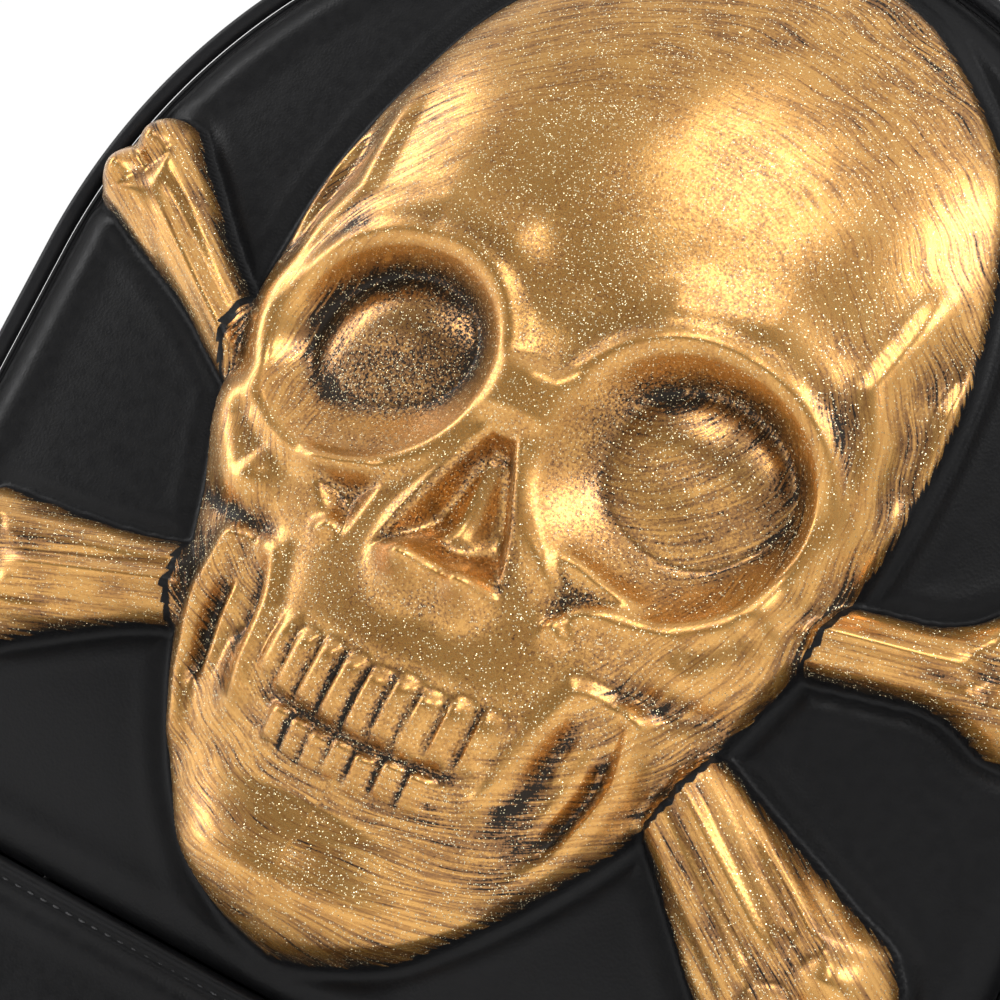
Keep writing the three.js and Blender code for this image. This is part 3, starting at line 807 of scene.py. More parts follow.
# ridges and creases (negative) on both halves of the face: height, width, fade at the ends,
# and the points they run through
FACE_RIDGES = (
    # brow, temples and the line that runs up the side of the cranium
    (1.8, 7.0, 0.25, (8, 24), (22, 36), (42, 40), (60, 32), (70, 14)),
    (-3.2, 4.0, 0.25, (77, 60), (76, 42), (79, 26), (79, 10)),
    (1.9, 3.6, 0.2, (70, 72), (69, 52), (67, 38), (73, 26), (76, 8), (73, -10)),
    (1.0, 3.0, 0.25, (83, 58), (82, 38), (83, 20)),
    # bridge of the nose
    (3.8, 8.0, 0.3, (0, 16), (0, 4), (0, -5)),
    # cheekbones, the edges of the hollow beside the nose and the crease under the bone
    (4.6, 8.0, 0.25, (75, -10), (71, -25), (60, -36), (46, -37)),
    (1.6, 2.4, 0.25, (46, -27), (34, -25), (22, -22)),
    (1.8, 2.4, 0.25, (33, -42), (27, -36)),
    (-2.3, 3.0, 0.3, (73, -40), (60, -43), (46, -44), (38, -48)),
    # jaw: folds on each side that run down to the chin
    (3.4, 3.2, 0.12, (47, -46), (54, -50), (56, -64), (51, -82), (42, -100)),
    (2.6, 3.2, 0.12, (47, -46), (40, -49), (36, -60), (34, -74), (30, -84)),
    (1.6, 1.8, 0.3, (47, -56), (46, -68), (43, -84)),
    (-2.6, 1.7, 0.25, (50, -56), (50, -68), (46, -84)),
    (-2.4, 1.8, 0.3, (42, -52), (40, -62), (39, -72)),
)
MOUTH_LINE = [(-27, -77), (0, -79.5), (27, -77)]


def skull_height(x, z, s):
    """Height of the face above the leather. x and z are measured from the middle of the eyes.

    s is 0 in the middle of the face and 1 on its outline.
    """
    ax = np.abs(x)
    h = SKULL_RELIEF * np.clip(1 - s ** 2.2, 0, None) ** 0.62
    for height, width, fade, *points in FACE_RIDGES:
        h += height * ridge(ax, z, points, width, fade)
    # forehead
    h += 3.0 * blob(x, z, 0, 66, 52, 38) - 1.0 * blob(x, z, 0, 25, 9, 8)
    # eye sockets: a rim, a steep wall and a swollen floor
    d = socket_distance(x, z)
    rim = np.exp(-((d - 1.12) / 0.12) ** 2)
    weight = 0.55 + 0.35 * smooth(z, 4, 26) + 0.55 * blob(ax, z, 50, -22, 26, 13)
    h += (1.7 + 0.9 * smooth(x, -4, 4)) * rim * weight * smooth(1 - s, 0.0, 0.14)
    h -= 9.8 * (0.4 * smooth(1.05 - d, 0.0, 0.34) + 0.6 * np.clip((1.03 - d) / 0.31, 0, 1))
    h += 3.8 * np.clip(1 - (d / 0.74) ** 2, 0, 1)
    # nose: a pear-shaped opening with a septum, and two soft lobes at its foot
    drop = np.clip((-4 - z) / 34, 0, 1)
    half = 2.5 + 13.5 * drop ** 0.85
    edge = np.maximum((ax - half) / 4.0, np.maximum((z + 5) / 4.0, (-37 - z) / 6.0))
    opening = smooth(-edge, -0.35, 1.1)
    h += 1.3 * np.exp(-((edge - 0.2) / 0.7) ** 2) * smooth(-z, 2, 8) * smooth(z, -36, -26)
    h -= 8.0 * opening
    h += 4.2 * ridge(x, z, [(-1, -6), (-1, -18), (0, -34)], 4.4, 0.2) * opening
    h += 11.0 * blob(x, z, -6.0, -37.5, 7.0, 7.0) + 8.5 * blob(x, z, 8.5, -37.5, 5.8, 6.4)
    # hollows beside the nose and in the cheeks
    h -= 3.6 * wedge(ax, z, [(25, -43), (20, -22), (43, -27)], 6.5)
    h -= 3.6 * blob(ax, z, 44, -66, 9, 20, 8)
    # muzzle, teeth and chin
    h += 4.6 * blob(x, z, 0, -70, 36, 24)
    band = smooth(34 - ax, 0, 7) * smooth(z, -93, -86) * smooth(-z, 57, 66)
    h += (teeth_relief(x, z)[0] - 1.1) * band
    h -= 1.0 * ridge(x, z, MOUTH_LINE, 1.4, 0.1)
    h -= 1.6 * blob(x, z, 0, -94, 27, 4)
    h += 12.0 * blob(x, z, -3, -118, 32, 14.5) + 1.4 * blob(ax, z, 24, -117, 10, 8)
    # a hand-made surface is never quite even
    h += 0.12 * np.sin(x * 0.09 + 1.1) * np.sin(z * 0.075) + 0.07 * np.sin(x * 0.21 - z * 0.13)
    return np.where(s < 1, np.maximum(h, 0) * smooth(1 - s, 0, 0.035), 0)


def soft_min(a, b, soft):
    mix = np.clip(0.5 + 0.5 * (b - a) / soft, 0, 1)
    return b * (1 - mix) + a * mix - soft * mix * (1 - mix)


def bone_fields(x, z, ends):
    """(height, distance outside the outline, distance along, distance across) of one bone end."""
    (ax, az), (bx, bz), shaft, knob, flare = ends
    length = math.hypot(bx - ax, bz - az)
    ux, uz = (bx - ax) / length, (bz - az) / length
    along = (x - ax) * ux + (z - az) * uz
    across = -(x - ax) * uz + (z - az) * ux
    aside = np.abs(across)
    t = along / length
    # two round lobes at the end, joined softly to the shaft
    lobe = knob * 0.64
    middle = length - lobe + 2.5
    width = shaft + (knob * 0.95 - shaft) * smooth(t, flare, 0.95)
    outside = np.maximum(aside - width, along - middle)
    lobes = np.hypot(along - middle, aside - knob * 0.31) - lobe
    outside = soft_min(outside, lobes, 3.0)
    rise = np.clip(-outside / np.maximum(width, 1), 0, 1)
    rounded = np.clip(1 - (1 - rise) ** 2.2, 0, 1) ** 0.6
    swell = blob(along, aside, middle + 1, knob * 0.46, 12, knob * 0.42)
    cleft = blob(along, across, length, 0, 13, 4.5)
    height = (BONE_RELIEF * 0.84 + 3.4 * swell - 1.4 * cleft) * rounded
    grooves = 0.8 * np.sin(across * 0.62 + 0.8) + 0.5 * np.sin(across * 1.1 + t * 3)
    height += grooves * rounded * smooth(0.85 - t, 0, 0.25)
    reach = smooth(t, -0.4, -0.25)
    return height * reach, outside + 40 * (1 - reach), along, across


def box_blur(field, radius, times=3):
    for _ in range(times):
        for axis in (0, 1):
            pad = [(radius, radius) if k == axis else (0, 0) for k in (0, 1)]
            total = np.cumsum(np.pad(field, pad, mode="edge"), axis=axis)
            total = np.insert(total, 0, 0, axis=axis)
            high = np.take(total, range(2 * radius + 1, total.shape[axis]), axis=axis)
            low = np.take(total, range(0, total.shape[axis] - 2 * radius - 1), axis=axis)
            field = (high - low) / (2 * radius + 1)
    return field


def width_at(z, inset):
    """Half-width of the body at a height: rounded bottom corners, straight sides, round arch."""
    half, bottom, radius = outline_sizes(inset)
    low = np.clip(bottom + radius - z, 0, radius)
    corner = half - radius + np.sqrt(np.clip(radius ** 2 - low ** 2, 0, None))
    arch = np.sqrt(np.clip(half ** 2 - np.clip(z - ARCH_Z, 0, None) ** 2, 0, None))
    return np.minimum(corner, arch)


def panel_grid(low, high, step, columns, inset=INSET):
    """Rows of points across the body between two heights, closer where its outline turns in."""
    half, bottom, radius = outline_sizes(inset)
    rows = []
    if low < bottom + radius:
        a = np.linspace(0, np.pi / 2, int(radius * 1.57 / step) + 1)
        rows.append(bottom + radius * (1 - np.cos(a)))
        low = bottom + radius
    top = min(high, ARCH_Z)
    rows.append(np.linspace(low, top, int((top - low) / step) + 1)[len(rows):])
    if high > ARCH_Z:
        a = np.linspace(0, np.pi / 2, int(half * 1.57 / step) + 1)[1:]
        rows.append(ARCH_Z + half * np.sin(a))
    z = np.concatenate(rows)
    x = width_at(z, inset)[:, None] * np.linspace(-1, 1, columns)
    return x, np.broadcast_to(z[:, None], x.shape)


# the paint on the face: black marks and brush strokes, and painted shade in its creases and hollows
def face_paint_and_shade(x, z, s):
    """The fields "dark", "brush" and "stroke" of painted_front() on the face."""
    ax = np.abs(x)
    right = smooth(x, -4, 4)
    d = socket_distance(x, z)
    floor = smooth(0.86 - d, 0, 0.14)
    # black stippled on the socket floors, and a band of painted shade inside the upper rim, where the brow
    # shades the wall
    dark = floor * (0.52 - 0.34 * right) + 0.30 * np.exp(-((d - 0.82) / 0.09) ** 2) * smooth(z, -8, 14)
    dark += right * (0.5 * blob(x, z, 27, 20, 7, 5, -30) + 0.35 * blob(x, z, 46, 14, 10, 7, -20)) * floor
    dark += 0.22 * np.exp(-((d - 1.26) / 0.06) ** 2) * smooth(z, 5, 25)
    dark += (0.25 + 0.20 * right) * blob(ax, z, 63, 30, 5, 8, 20)
    dark += 0.42 * smooth(s, 0.88, 1.0) + 0.13 * smooth(s, 0.5, 0.85)
    # nose, cheeks and jaw: painted shade along the walls of the nose opening, in the hollows beside it and in
    # the creases under the cheekbones and along the jaw, where the black under the paint also shows; then
    # patches of black paint
    dark += 0.55 * ridge(ax, z, [(4, -8), (9, -16), (14, -28), (16, -38)], 2.0, 0.1)
    dark += (0.22 + 0.30 * right) * wedge(ax, z, [(25, -41), (23, -24), (41, -28)], 4)
    dark += (0.34 - 0.14 * right) * ridge(ax, z, [(73, -41), (60, -44), (46, -45), (38, -48)], 1.7, 0.15)
    dark += 0.36 * ridge(ax, z, [(50, -56), (50, -68), (46, -84)], 1.5, 0.2)
    dark += 0.40 * ridge(ax, z, [(42, -52), (40, -62), (39, -72), (35, -86)], 1.6, 0.2)
    dark += 0.30 * right * blob(x, z, 44, -88, 10, 20, 25)
    dark += 0.35 * (1 - right) * blob(x, z, -62, -52, 9, 14)
    # teeth: painted shade in the gaps beside and between them and along the line of the mouth, where the
    # black under the paint also shows, and black specks over the muzzle
    gap = teeth_relief(x, z)[1]
    dark += gap * (0.80 + 0.28 * np.sin(0.31 * x + 1.0) * np.cos(0.23 * z))
    dark += 0.16 * blob(x, z, 0, -76, 32, 15) + 0.35 * ridge(x, z, MOUTH_LINE, 1.1, 0.1)
    # the crown and the chin are brushed round the face, the right socket round its own middle
    middle = np.exp(-(x / 42) ** 4 - ((z + 22) / 48) ** 4)
    brush = np.clip(0.20 + 0.62 * smooth(s, 0.45, 0.8) + 0.35 * smooth(-z, 88, 104) - 0.3 * middle, 0.05, 1)
    brush = np.maximum(brush, floor * 0.55 * right)
    far = np.hypot(x, z + FACE_DROP)
    along = np.arctan2(x, z + FACE_DROP) * far
    across = far + 3.4 * soft_noise(x, z, 24) + 1.2 * soft_noise(z, x, 7)
    swirl = floor * right > 0.3
    sway = 2.6 * soft_noise(x, z, 13) + soft_noise(z, x, 5)
    along = np.where(swirl, np.arctan2(z - 26, x - 20) * 26, along)
    across = np.where(swirl, np.hypot(x - 20, z - 26) + sway, across)
    return dark, brush, np.stack([along, across, np.zeros_like(x)], -1)


def smooth_normals(vertices, faces):
    """Normals of the uncut surface, so that no edge shows where its pieces meet."""
    whole = make_object("whole_front", vertices, faces, [])
    normals = np.empty(len(vertices) * 3, dtype=np.float32)
    whole.data.vertices.foreach_get("normal", normals)
    bpy.data.objects.remove(whole)
    return normals.reshape(-1, 3)


def front_fields(x, up):
    """Height and paint of the whole door face, at x and up from the middle of the eyes.

    Returns the height, the distance outside the moulded shapes, the piece that owns each point
    (0 door, 1 skull, then the bones) and the fields painted_front() reads.
    """
    table_angle, table_radius = skull_radius()
    leant = x - lean(up)
    angle = np.arctan2(leant, up + FACE_DROP)
    radius = np.interp(angle, table_angle, table_radius, period=2 * np.pi)
    s = np.hypot(leant, up + FACE_DROP) / radius
    height = skull_height(leant, up, s)
    dark, brush, stroke = face_paint_and_shade(leant, up, s)
    outside = (s - 1) * radius
    paint_rise = height.copy()
    owner = np.where(s < 1.02, 1, 0)
    for number, ends in enumerate(BONES.values()):
        h, away, along, across = bone_fields(x, up, ends)
        mine = (s >= 1.0) & (away < 1.5)
        owner[(s >= 1.02) & (away < 1.5)] = number + 2
        height = np.maximum(height, h * smooth(s, 0.86, 1.0))
        paint_rise = np.where(mine, h, paint_rise)
        # each bone is brushed along its length, its streaks apart from the others
        offset = 60 * (number + 1)
        stroke[mine] = np.stack([along, across + offset, np.zeros_like(x)], -1)[mine]
        brush = np.where(mine, 0.9, brush)
        joint = 0.50 * smooth(-along, -16, 0) + 0.42 * smooth(away, -3.5, 0) + 0.20
        joint += 0.30 * np.exp(-((np.sin(across * 0.31 + 0.8) + 1) / 0.25) ** 2)
        dark = np.where(mine, joint, dark)
        outside = np.minimum(outside, away)
    moat = -0.7 * np.exp(-((outside - 1.2) / 2.0) ** 2) + 0.30 * np.exp(-((outside - 6.0) / 2.6) ** 2)
    height += np.where(outside > -2, moat * smooth(outside, -2, 1), 0)
    fields = {"paint": np.clip(paint_rise / 7.0, 0, 1), "dark": dark, "brush": brush, "stroke": stroke}
    return height, outside, owner, fields


def make_front(mats):
    """The door's leather, the skull and the bones: one surface, cut into six pieces."""
    x, z = panel_grid(SEAM_Z + 0.3, ARCH_TOP, 1.05, 286)
    up = z - ARCH_Z
    height, outside, owner, fields = front_fields(x, up)
    # the padded edge rolls down into the piping, and pulls in at the seam
    rim_gap = np.where(up > 0, HALF - INSET - np.hypot(x, up), HALF - INSET - np.abs(x))
    seam_gap = z - SEAM_Z
    fold = 3.0 * np.exp(-(rim_gap / 3.0)) - 1.4 * np.exp(-((rim_gap - 9) / 5.0) ** 2)
    fold += 2.6 * np.exp(-(seam_gap / 2.2)) - 1.2 * np.exp(-((seam_gap - 8) / 5.0) ** 2)
    soft = 0.35 * np.sin(x * 0.045 + up * 0.02) * np.sin(up * 0.05 + 0.6)
    y = FRONT_Y - door_dome(x, up) - height + fold - soft * smooth(outside, 0, 20)
    # painted shade and painted highlight: more black in the hollows and more gold on the ridges, from the
    # height against its blurred copy
    hollow_shade_ridge_light = np.clip((y - box_blur(y, 3)) / 1.2, -1, 1)
    fields["dark"] = fields["dark"] + 0.22 * np.clip(hollow_shade_ridge_light, 0, 1) - 0.30 * np.clip(-hollow_shade_ridge_light, 0, 1)
    vertices = np.stack([x, y, z], -1).reshape(-1, 3)
    faces = grid_faces(*x.shape)
    normals = smooth_normals(vertices, faces)
    face_owner = owner.reshape(-1)[faces[:, 0]]
    for number, node in enumerate(["door_skin", "skull_relief", *BONES]):
        picked = faces[face_owner == number]
        used, local = np.unique(picked, return_inverse=True)
        obj = make_object(node + "_form", vertices[used], local.reshape(picked.shape), [mats["front"]])
        for field, values in fields.items():
            vector = values.ndim == 3
            values = values.reshape(len(vertices), -1)[used].astype(np.float32)
            layer = obj.data.attributes.new(field, "FLOAT_VECTOR" if vector else "FLOAT", "POINT")
            layer.data.foreach_set("vector" if vector else "value", values.ravel())
        obj.data.normals_split_custom_set_from_vertices(normals[used].tolist())
        finish_piece(obj, "door", [node])


# ---------------------------------------------------------------- panels

def tint_faces(obj, rule):
    """Set each face's material from rule(centres, normals), arrays with the centres in millimetres."""
    count = len(obj.data.polygons)
    centres, normals = np.empty(count * 3), np.empty(count * 3)
    obj.data.polygons.foreach_get("center", centres)
    obj.data.polygons.foreach_get("normal", normals)
    index = rule(centres.reshape(-1, 3) / MM, normals.reshape(-1, 3))
    obj.data.polygons.foreach_set("material_index", np.asarray(index, dtype=np.int32))


def merge_points(obj):
    mesh = bmesh.new()
    mesh.from_mesh(obj.data)
    bmesh.ops.remove_doubles(mesh, verts=mesh.verts, dist=1e-6)
    bmesh.ops.recalc_face_normals(mesh, faces=mesh.faces)
    mesh.to_mesh(obj.data)
    mesh.free()


def shell(name, near, far, materials):
    """A closed skin between two grids of points.

    The first grid has the first material, and the rest has the last.
    """
    rows, columns = near.shape[:2]
    count = rows * columns
    face = grid_faces(rows, columns)
    edge = [
        *range(columns),
        *[r * columns + columns - 1 for r in range(1, rows)],
        *[(rows - 1) * columns + c for c in range(columns - 2, -1, -1)],
        *[r * columns for r in range(rows - 2, 0, -1)],
    ]
    sides = [[b, a, a + count, b + count] for a, b in zip(edge, edge[1:] + edge[:1])]
    kinds = [0] * len(face) + [len(materials) - 1] * (len(face) + len(sides))
    points = np.vstack([near.reshape(-1, 3), far.reshape(-1, 3)])
    obj = make_object(name, points, [*face, *(face[:, ::-1] + count), *sides], materials, kinds)
    merge_points(obj)
    return obj


def plate(name, x, z, front, rear, materials):
    """A closed panel over a grid of x and z, between two surfaces y = front and y = rear."""
    return shell(name, np.stack([x, front, z], -1), np.stack([x, rear, z], -1), materials)


def patch_grid(x0, x1, z0, z1, radius, step):
    """A grid over a rectangle with rounded corners."""
    turn = 1 - np.cos(np.linspace(0, np.pi / 2, int(radius * 1.6 / step) + 2))
    inner = np.linspace(z0 + radius, z1 - radius, max(int((z1 - z0 - 2 * radius) / step), 1) + 1)
    z = np.concatenate([z0 + radius * turn, inner[1:-1], (z1 - radius * turn)[::-1]])
    into = np.clip(np.maximum(z0 + radius - z, z - z1 + radius), 0, radius)
    half = (x1 - x0) / 2 - radius + np.sqrt(radius ** 2 - into ** 2)
    u = np.sin(np.linspace(-np.pi / 2, np.pi / 2, int((x1 - x0) / step) + 3)) * 0.35
    u += np.linspace(-1, 1, len(u)) * 0.65
    x = (x0 + x1) / 2 + half[:, None] * u[None]
    return x, np.broadcast_to(z[:, None], x.shape)


def edge_distance(x, z, x0, x1, z0, z1, radius):
    """Distance inwards from the edge of a rounded rectangle."""
    dx = np.abs(x - (x0 + x1) / 2) - (x1 - x0) / 2 + radius
    dz = np.abs(z - (z0 + z1) / 2) - (z1 - z0) / 2 + radius
    beyond = np.hypot(np.clip(dx, 0, None), np.clip(dz, 0, None))
    return radius - beyond - np.minimum(np.maximum(dx, dz), 0)


def rectangle_line(x0, x1, z0, z1, radius, y, step=2.0):
    """A closed line round a rounded rectangle, counter-clockwise from the front."""
    corners = [(x1 - radius, z0 + radius, -90), (x1 - radius, z1 - radius, 0),
               (x0 + radius, z1 - radius, 90), (x0 + radius, z0 + radius, 180)]
    points = np.vstack([arc_points(cx, cz, radius, a, a + 90, step) for cx, cz, a in corners])
    return in_xz(resample(points, step, closed=True), y)


def groove(distance, at, width=1.2, depth=0.9):
    return depth * np.exp(-((distance - at) / width) ** 2)


def soft_noise(a, b, size):
    """A slow, repeatable unevenness from -1 to 1."""
    broad = np.sin(a / size + 0.7) * np.sin(b / (size * 1.3) + 1.9)
    fine = np.sin(a / (size * 0.43) - b / (size * 0.6))
    return (broad + 0.5 * fine) / 1.5


def body_edge_distance(x, z, inset):
    """Distance inwards from the body's outline."""
    half, bottom, r = outline_sizes(inset)
    arch = half - np.hypot(x, np.clip(z - ARCH_Z, 0, None))
    sides = half - np.abs(x)
    low = z - bottom
    dx, dz = np.abs(x) - half + r, bottom + r - z
    corner = np.where((dx > 0) & (dz > 0), r - np.hypot(dx, dz), np.inf)
    return np.minimum(np.where(z > ARCH_Z, arch, np.minimum(sides, low)), corner)


# ---------------------------------------------------------------- shell

def make_band(mats):
    """The panel under the seam: a puffed edge, a sunk row of stitches and a soft lower part."""
    x, z = panel_grid(BOTTOM, SEAM_Z - 0.3, 1.3, 220)
    away = body_edge_distance(x, z, INSET)
    down = SEAM_Z - z
    swell = 4.0 * np.clip(1 - (x / HALF) ** 4, 0, 1) * smooth(z, BOTTOM, 60) * smooth(down, -10, 40)
    puff = 2.2 * np.exp(-((down - 1.9) / 1.5) ** 2) + 1.0 * np.exp(-((down - 9.5) / 3.5) ** 2)
    puff -= groove(down, STITCH_DROP, 0.9, 1.5) + 1.6 * np.exp(-down / 0.8)
    puff -= 2.4 * np.exp(-away / 2.2) - 0.9 * np.exp(-((away - 7) / 4) ** 2)
    y = FRONT_Y - swell - puff - 0.45 * soft_noise(x, z, 26) * smooth(away, 0, 15)
    rear = np.full_like(x, FRONT_Y + 2.4)
    band = plate("front_band_form", x, z, y, rear, [mats["leather"], mats["lining"]])
    tint_faces(band, lambda centre, normal: (centre[:, 1] > FRONT_Y + 2) & (normal[:, 1] > 0.5))
    finish_piece(band, "body", ["front_band"])
    line = np.arange(-HALF + 5, HALF - 4, 1.0)
    flat = 4.0 * np.clip(1 - (line / HALF) ** 4, 0, 1) * smooth(np.array(STITCH_DROP), -10, 40)
    row = np.stack([line, FRONT_Y - flat + 1.0, np.full_like(line, SEAM_Z - STITCH_DROP)], 1)
    stitches("band_topstitch", [dict(path=row, normal=AHEAD)], "body", mats)


def make_pipings(mats):
    section = circle(PIPING_RADIUS, 18)
    pieces = (
        ("door_piping", arch_outline(-0.5, 2.0, SEAM_Z + 0.4), FRONT_Y, "door", False),
        ("band_piping", low_outline(-0.5, 2.0, SEAM_Z - 3.4), FRONT_Y, "body", False),
        ("rear_piping", resample(body_outline(-0.5), 2.0, closed=True), BACK_Y, "body", True),
    )
    for name, line, y, body, closed in pieces:
        piece = ring_sweep(name + "_form", line, y, section, [mats["smooth"]], closed)
        finish_piece(piece, body, [name])


def wall_section(front, rear, thickness, seams):
    """The wall cut across: (y, height above the outer surface), dipping where it is sewn."""
    y = np.linspace(front, rear, max(int((rear - front) / 1.6), 4) + 1)
    puff = 0.7 * np.sin(np.pi * (y - front) / (rear - front))
    outer = -0.5 + puff * min((rear - front) / 60, 0.7)
    for seam in seams:
        outer = outer - groove(y, seam, 1.1, 0.7)
    outer = np.minimum(outer, 0.0)
    section = [(a, b) for a, b in zip(y, outer)] + [(rear, -thickness + 0.2), (front, -thickness + 0.2)]
    return np.array(section)[::-1]


def inner_faces(centre, normal):
    """1 where a face of the wall looks into the bag."""
    return body_edge_distance(centre[:, 0], centre[:, 2], 0) > 1.6


def make_walls(mats):
    """The wall round the body, its part in front of the zip under the door, and the door's own rim."""
    whole = resample(body_outline(0), 2.4, closed=True)
    low = low_outline(0, 2.4, SEAM_Z - 0.3)
    arch = arch_outline(0, 2.4, SEAM_Z + 0.3)
    main_seams = [ZIP_REAR + 3, WALL_REAR - 5]
    apron_seam = WALL_FRONT + 4
    rim_seam = RIM_BACK_Y - 3.5
    main = wall_section(ZIP_REAR, WALL_REAR, WALL_THICKNESS, main_seams)
    apron = wall_section(WALL_FRONT, ZIP_REAR, WALL_THICKNESS, [apron_seam])
    rim = wall_section(WALL_FRONT, RIM_BACK_Y, RIM_THICKNESS, [rim_seam])
    pieces = (
        ("side_wall_form", whole, main, True, "body", ["side_wall"]),
        ("side_wall_apron", low, apron, False, "body", []),
        ("door_rim_form", arch, rim, False, "door", ["door_rim"]),
    )
    for name, line, section, closed, body, nodes in pieces:
        piece = ring_sweep(name, line, 0, section, [mats["smooth"], mats["lining"]], closed)
        tint_faces(piece, inner_faces)
        finish_piece(piece, body, nodes)
    out = in_xz(outward(arch), 0)
    stitches("rim_topstitch", [dict(path=in_xz(arch, rim_seam) - out * 0.95, normal=out)], "door", mats)
    runs = []
    seams = ((whole, main_seams[1], True), (arch, main_seams[0], False), (low, apron_seam, False))
    for line, y, closed in seams:
        out = in_xz(outward(line, closed), 0)
        runs.append(dict(path=in_xz(line, y) - out, normal=out, closed=closed))
    stitches("wall_topstitch", runs, "body", mats)


def tooth(at, along, out, reach):
    """One moulded coil tooth: a rounded block with a swollen head at its tip."""
    # share of the reach, half-width and half-height there
    stations = [(0.0, 0.42, 0.55), (0.55, 0.42, 0.6), (0.72, 0.62, 0.75), (0.92, 0.6, 0.7), (1.0, 0.34, 0.4)]
    sides, size = 8, 1.08
    vertices = []
    for share, wide, tall in stations:
        centre = at + BEHIND * (reach * share)
        for a in np.radians(np.arange(22.5, 360, 45)):
            corner = along * (wide * size * math.cos(a)) + out * (tall * size * math.sin(a))
            vertices.append(centre + corner)
    faces = [list(f) for f in grid_faces(len(stations), sides, wrap_columns=True)]
    last = len(vertices) - sides
    faces += [list(range(sides - 1, -1, -1)), list(range(last, last + sides))]
    return vertices, faces


def make_zip(mats):
    """Two tapes over the arch, each with its own row of teeth, half a pitch apart."""
    depth = 2.4  # centre of the tape below the wall's surface
    pitch = 2.6
    halves = (
        ("door_zip", RIM_BACK_Y + 0.2, ZIP_Y - ZIP_HALF_GAP, "door", False, 1.0),
        ("body_zip", ZIP_Y + ZIP_HALF_GAP, ZIP_REAR - 0.3, "body", True, -1.0),
    )
    for name, y0, y1, body, between, way in halves:
        line = arch_outline(depth, 2.4, SEAM_Z + 1)
        tape = soft_rectangle(y1 - y0, 1.7, 0.4, per=2, crown=0.15, across=6)
        tape[:, 0] += (y0 + y1) / 2
        piece = ring_sweep(name + "_tape", line, 0, tape, [mats["tape"]], False)
        finish_piece(piece, body, [name])
        row = arch_outline(depth - 0.55, 0.65, SEAM_Z + 2)
        root = in_xz(row, y1 - 0.2 if way > 0 else y0 + 0.2)
        stations = resample(np.hstack([root, in_xz(outward(row), 0)]), pitch)
        if between:
            stations = (stations[1:] + stations[:-1]) / 2
        at, out = stations[:, :3], stations[:, 3:]
        out = out / np.linalg.norm(out, axis=1, keepdims=True)
        teeth = join(tooth(*place, way * 2.2) for place in zip(at, directions(at), out))
        finish_piece(make_object(name + "_teeth", *teeth, [mats["teeth"]]), body)


def make_hardware(mats):
    """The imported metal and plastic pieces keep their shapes, with worked edges."""
    finishes = {
        "zip_slider": ("metal", 0.45),
        "zip_pull": ("metal", 0.35),
        "handle_lug": ("metal", 0.6),
        "ladder_lock": ("buckle", 0.5),
    }
    for node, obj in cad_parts.items():
        for start, (finish, width) in finishes.items():
            if not node.startswith(start):
                continue
            obj.data.materials.clear()
            obj.data.materials.append(mats[finish])
            bevel = obj.modifiers.new("edges", "BEVEL")
            bevel.width = width * MM
            bevel.segments = 3
            bevel.limit_method = "ANGLE"
            bevel.angle_limit = math.radians(35)
            bevel.use_clamp_overlap = True
            obj.data.polygons.foreach_set("use_smooth", [True] * len(obj.data.polygons))
            obj.modifiers.new("normals", "WEIGHTED_NORMAL").keep_sharp = False


# ---------------------------------------------------------------- back, pads and straps

def make_back_panel(mats):
    x, z = panel_grid(BOTTOM, ARCH_TOP, 2.6, 110)
    away = body_edge_distance(x, z, INSET)
    puff = 1.2 * smooth(away, 1, 7) - groove(away, 8, 1.2, 0.8) - 1.1 * np.exp(-away / 1.5)
    y = BACK_Y + 0.6 + puff + 0.25 * soft_noise(x, z, 22) * smooth(away, 10, 20)
    y = np.minimum(y, BACK_Y + 1.75)
    front = np.full_like(x, BACK_Y - 2.4)
    panel = plate("back_panel_form", x, z, front, y, [mats["leather"], mats["lining"]])
    tint_faces(panel, lambda centre, normal: (centre[:, 1] < BACK_Y - 2) & (normal[:, 1] < -0.5))
    finish_piece(panel, "body", ["back_panel"])
    ring = resample(body_outline(INSET + 8), 2.0, closed=True)
    run = dict(path=in_xz(ring, BACK_Y + 1.1), normal=BEHIND, closed=True)
    stitches("back_topstitch", [run], "body", mats)


def make_pad(name, mats, channels):
    """A crowned pad of spacer mesh with a bound edge and channels sewn across it at some heights."""
    x0, y0, z0, x1, y1, z1 = box_mm(name)
    thick, edge, binding, r = y1 - y0 - 0.4, 2.6, 3.2, PAD_RADIUS
    x, z = patch_grid(x0, x1, z0, z1, r, 1.7)
    away = edge_distance(x, z, x0, x1, z0, z1, r)

    def bow(x):
        return 3 * np.cos((x - (x0 + x1) / 2) / (x1 - x0) * math.pi)

    height = edge + (thick - edge) * (1 - (1 - np.clip((away - binding) / 17, 0, 1)) ** 2.4)
    height -= 1.6 * np.exp(-((away - binding) / 0.9) ** 2)
    for at in channels:
        height -= 4.2 * np.exp(-((z - at - bow(x)) / 3.0) ** 2) * smooth(away, 3, 9)
    height += 0.35 * soft_noise(x, z, 17) * smooth(away, 4, 15)
    rear = y0 + np.clip(height, 1.2, thick)
    pad = plate(name + "_form", x, z, np.full_like(x, y0 + 0.1), rear, [mats["mesh"], mats["webbing"]])
    tint_faces(pad, lambda centre, normal: edge_distance(centre[:, 0], centre[:, 2], x0, x1, z0, z1, r) < 3.0)
    finish_piece(pad, "body", [name])
    inner = 3.3
    ring = rectangle_line(x0 + inner, x1 - inner, z0 + inner, z1 - inner, r - inner, y0 + 1.5)
    runs = [dict(path=ring, normal=BEHIND, closed=True)]
    for at in channels:
        line = np.arange(x0 + 9, x1 - 8, 1.0)
        row = np.stack([line, np.full_like(line, y0 + thick - 3.9), at + bow(line)], 1)
        runs.append(dict(path=row, normal=BEHIND))
    stitches(name + "_stitch", runs, "body", mats)


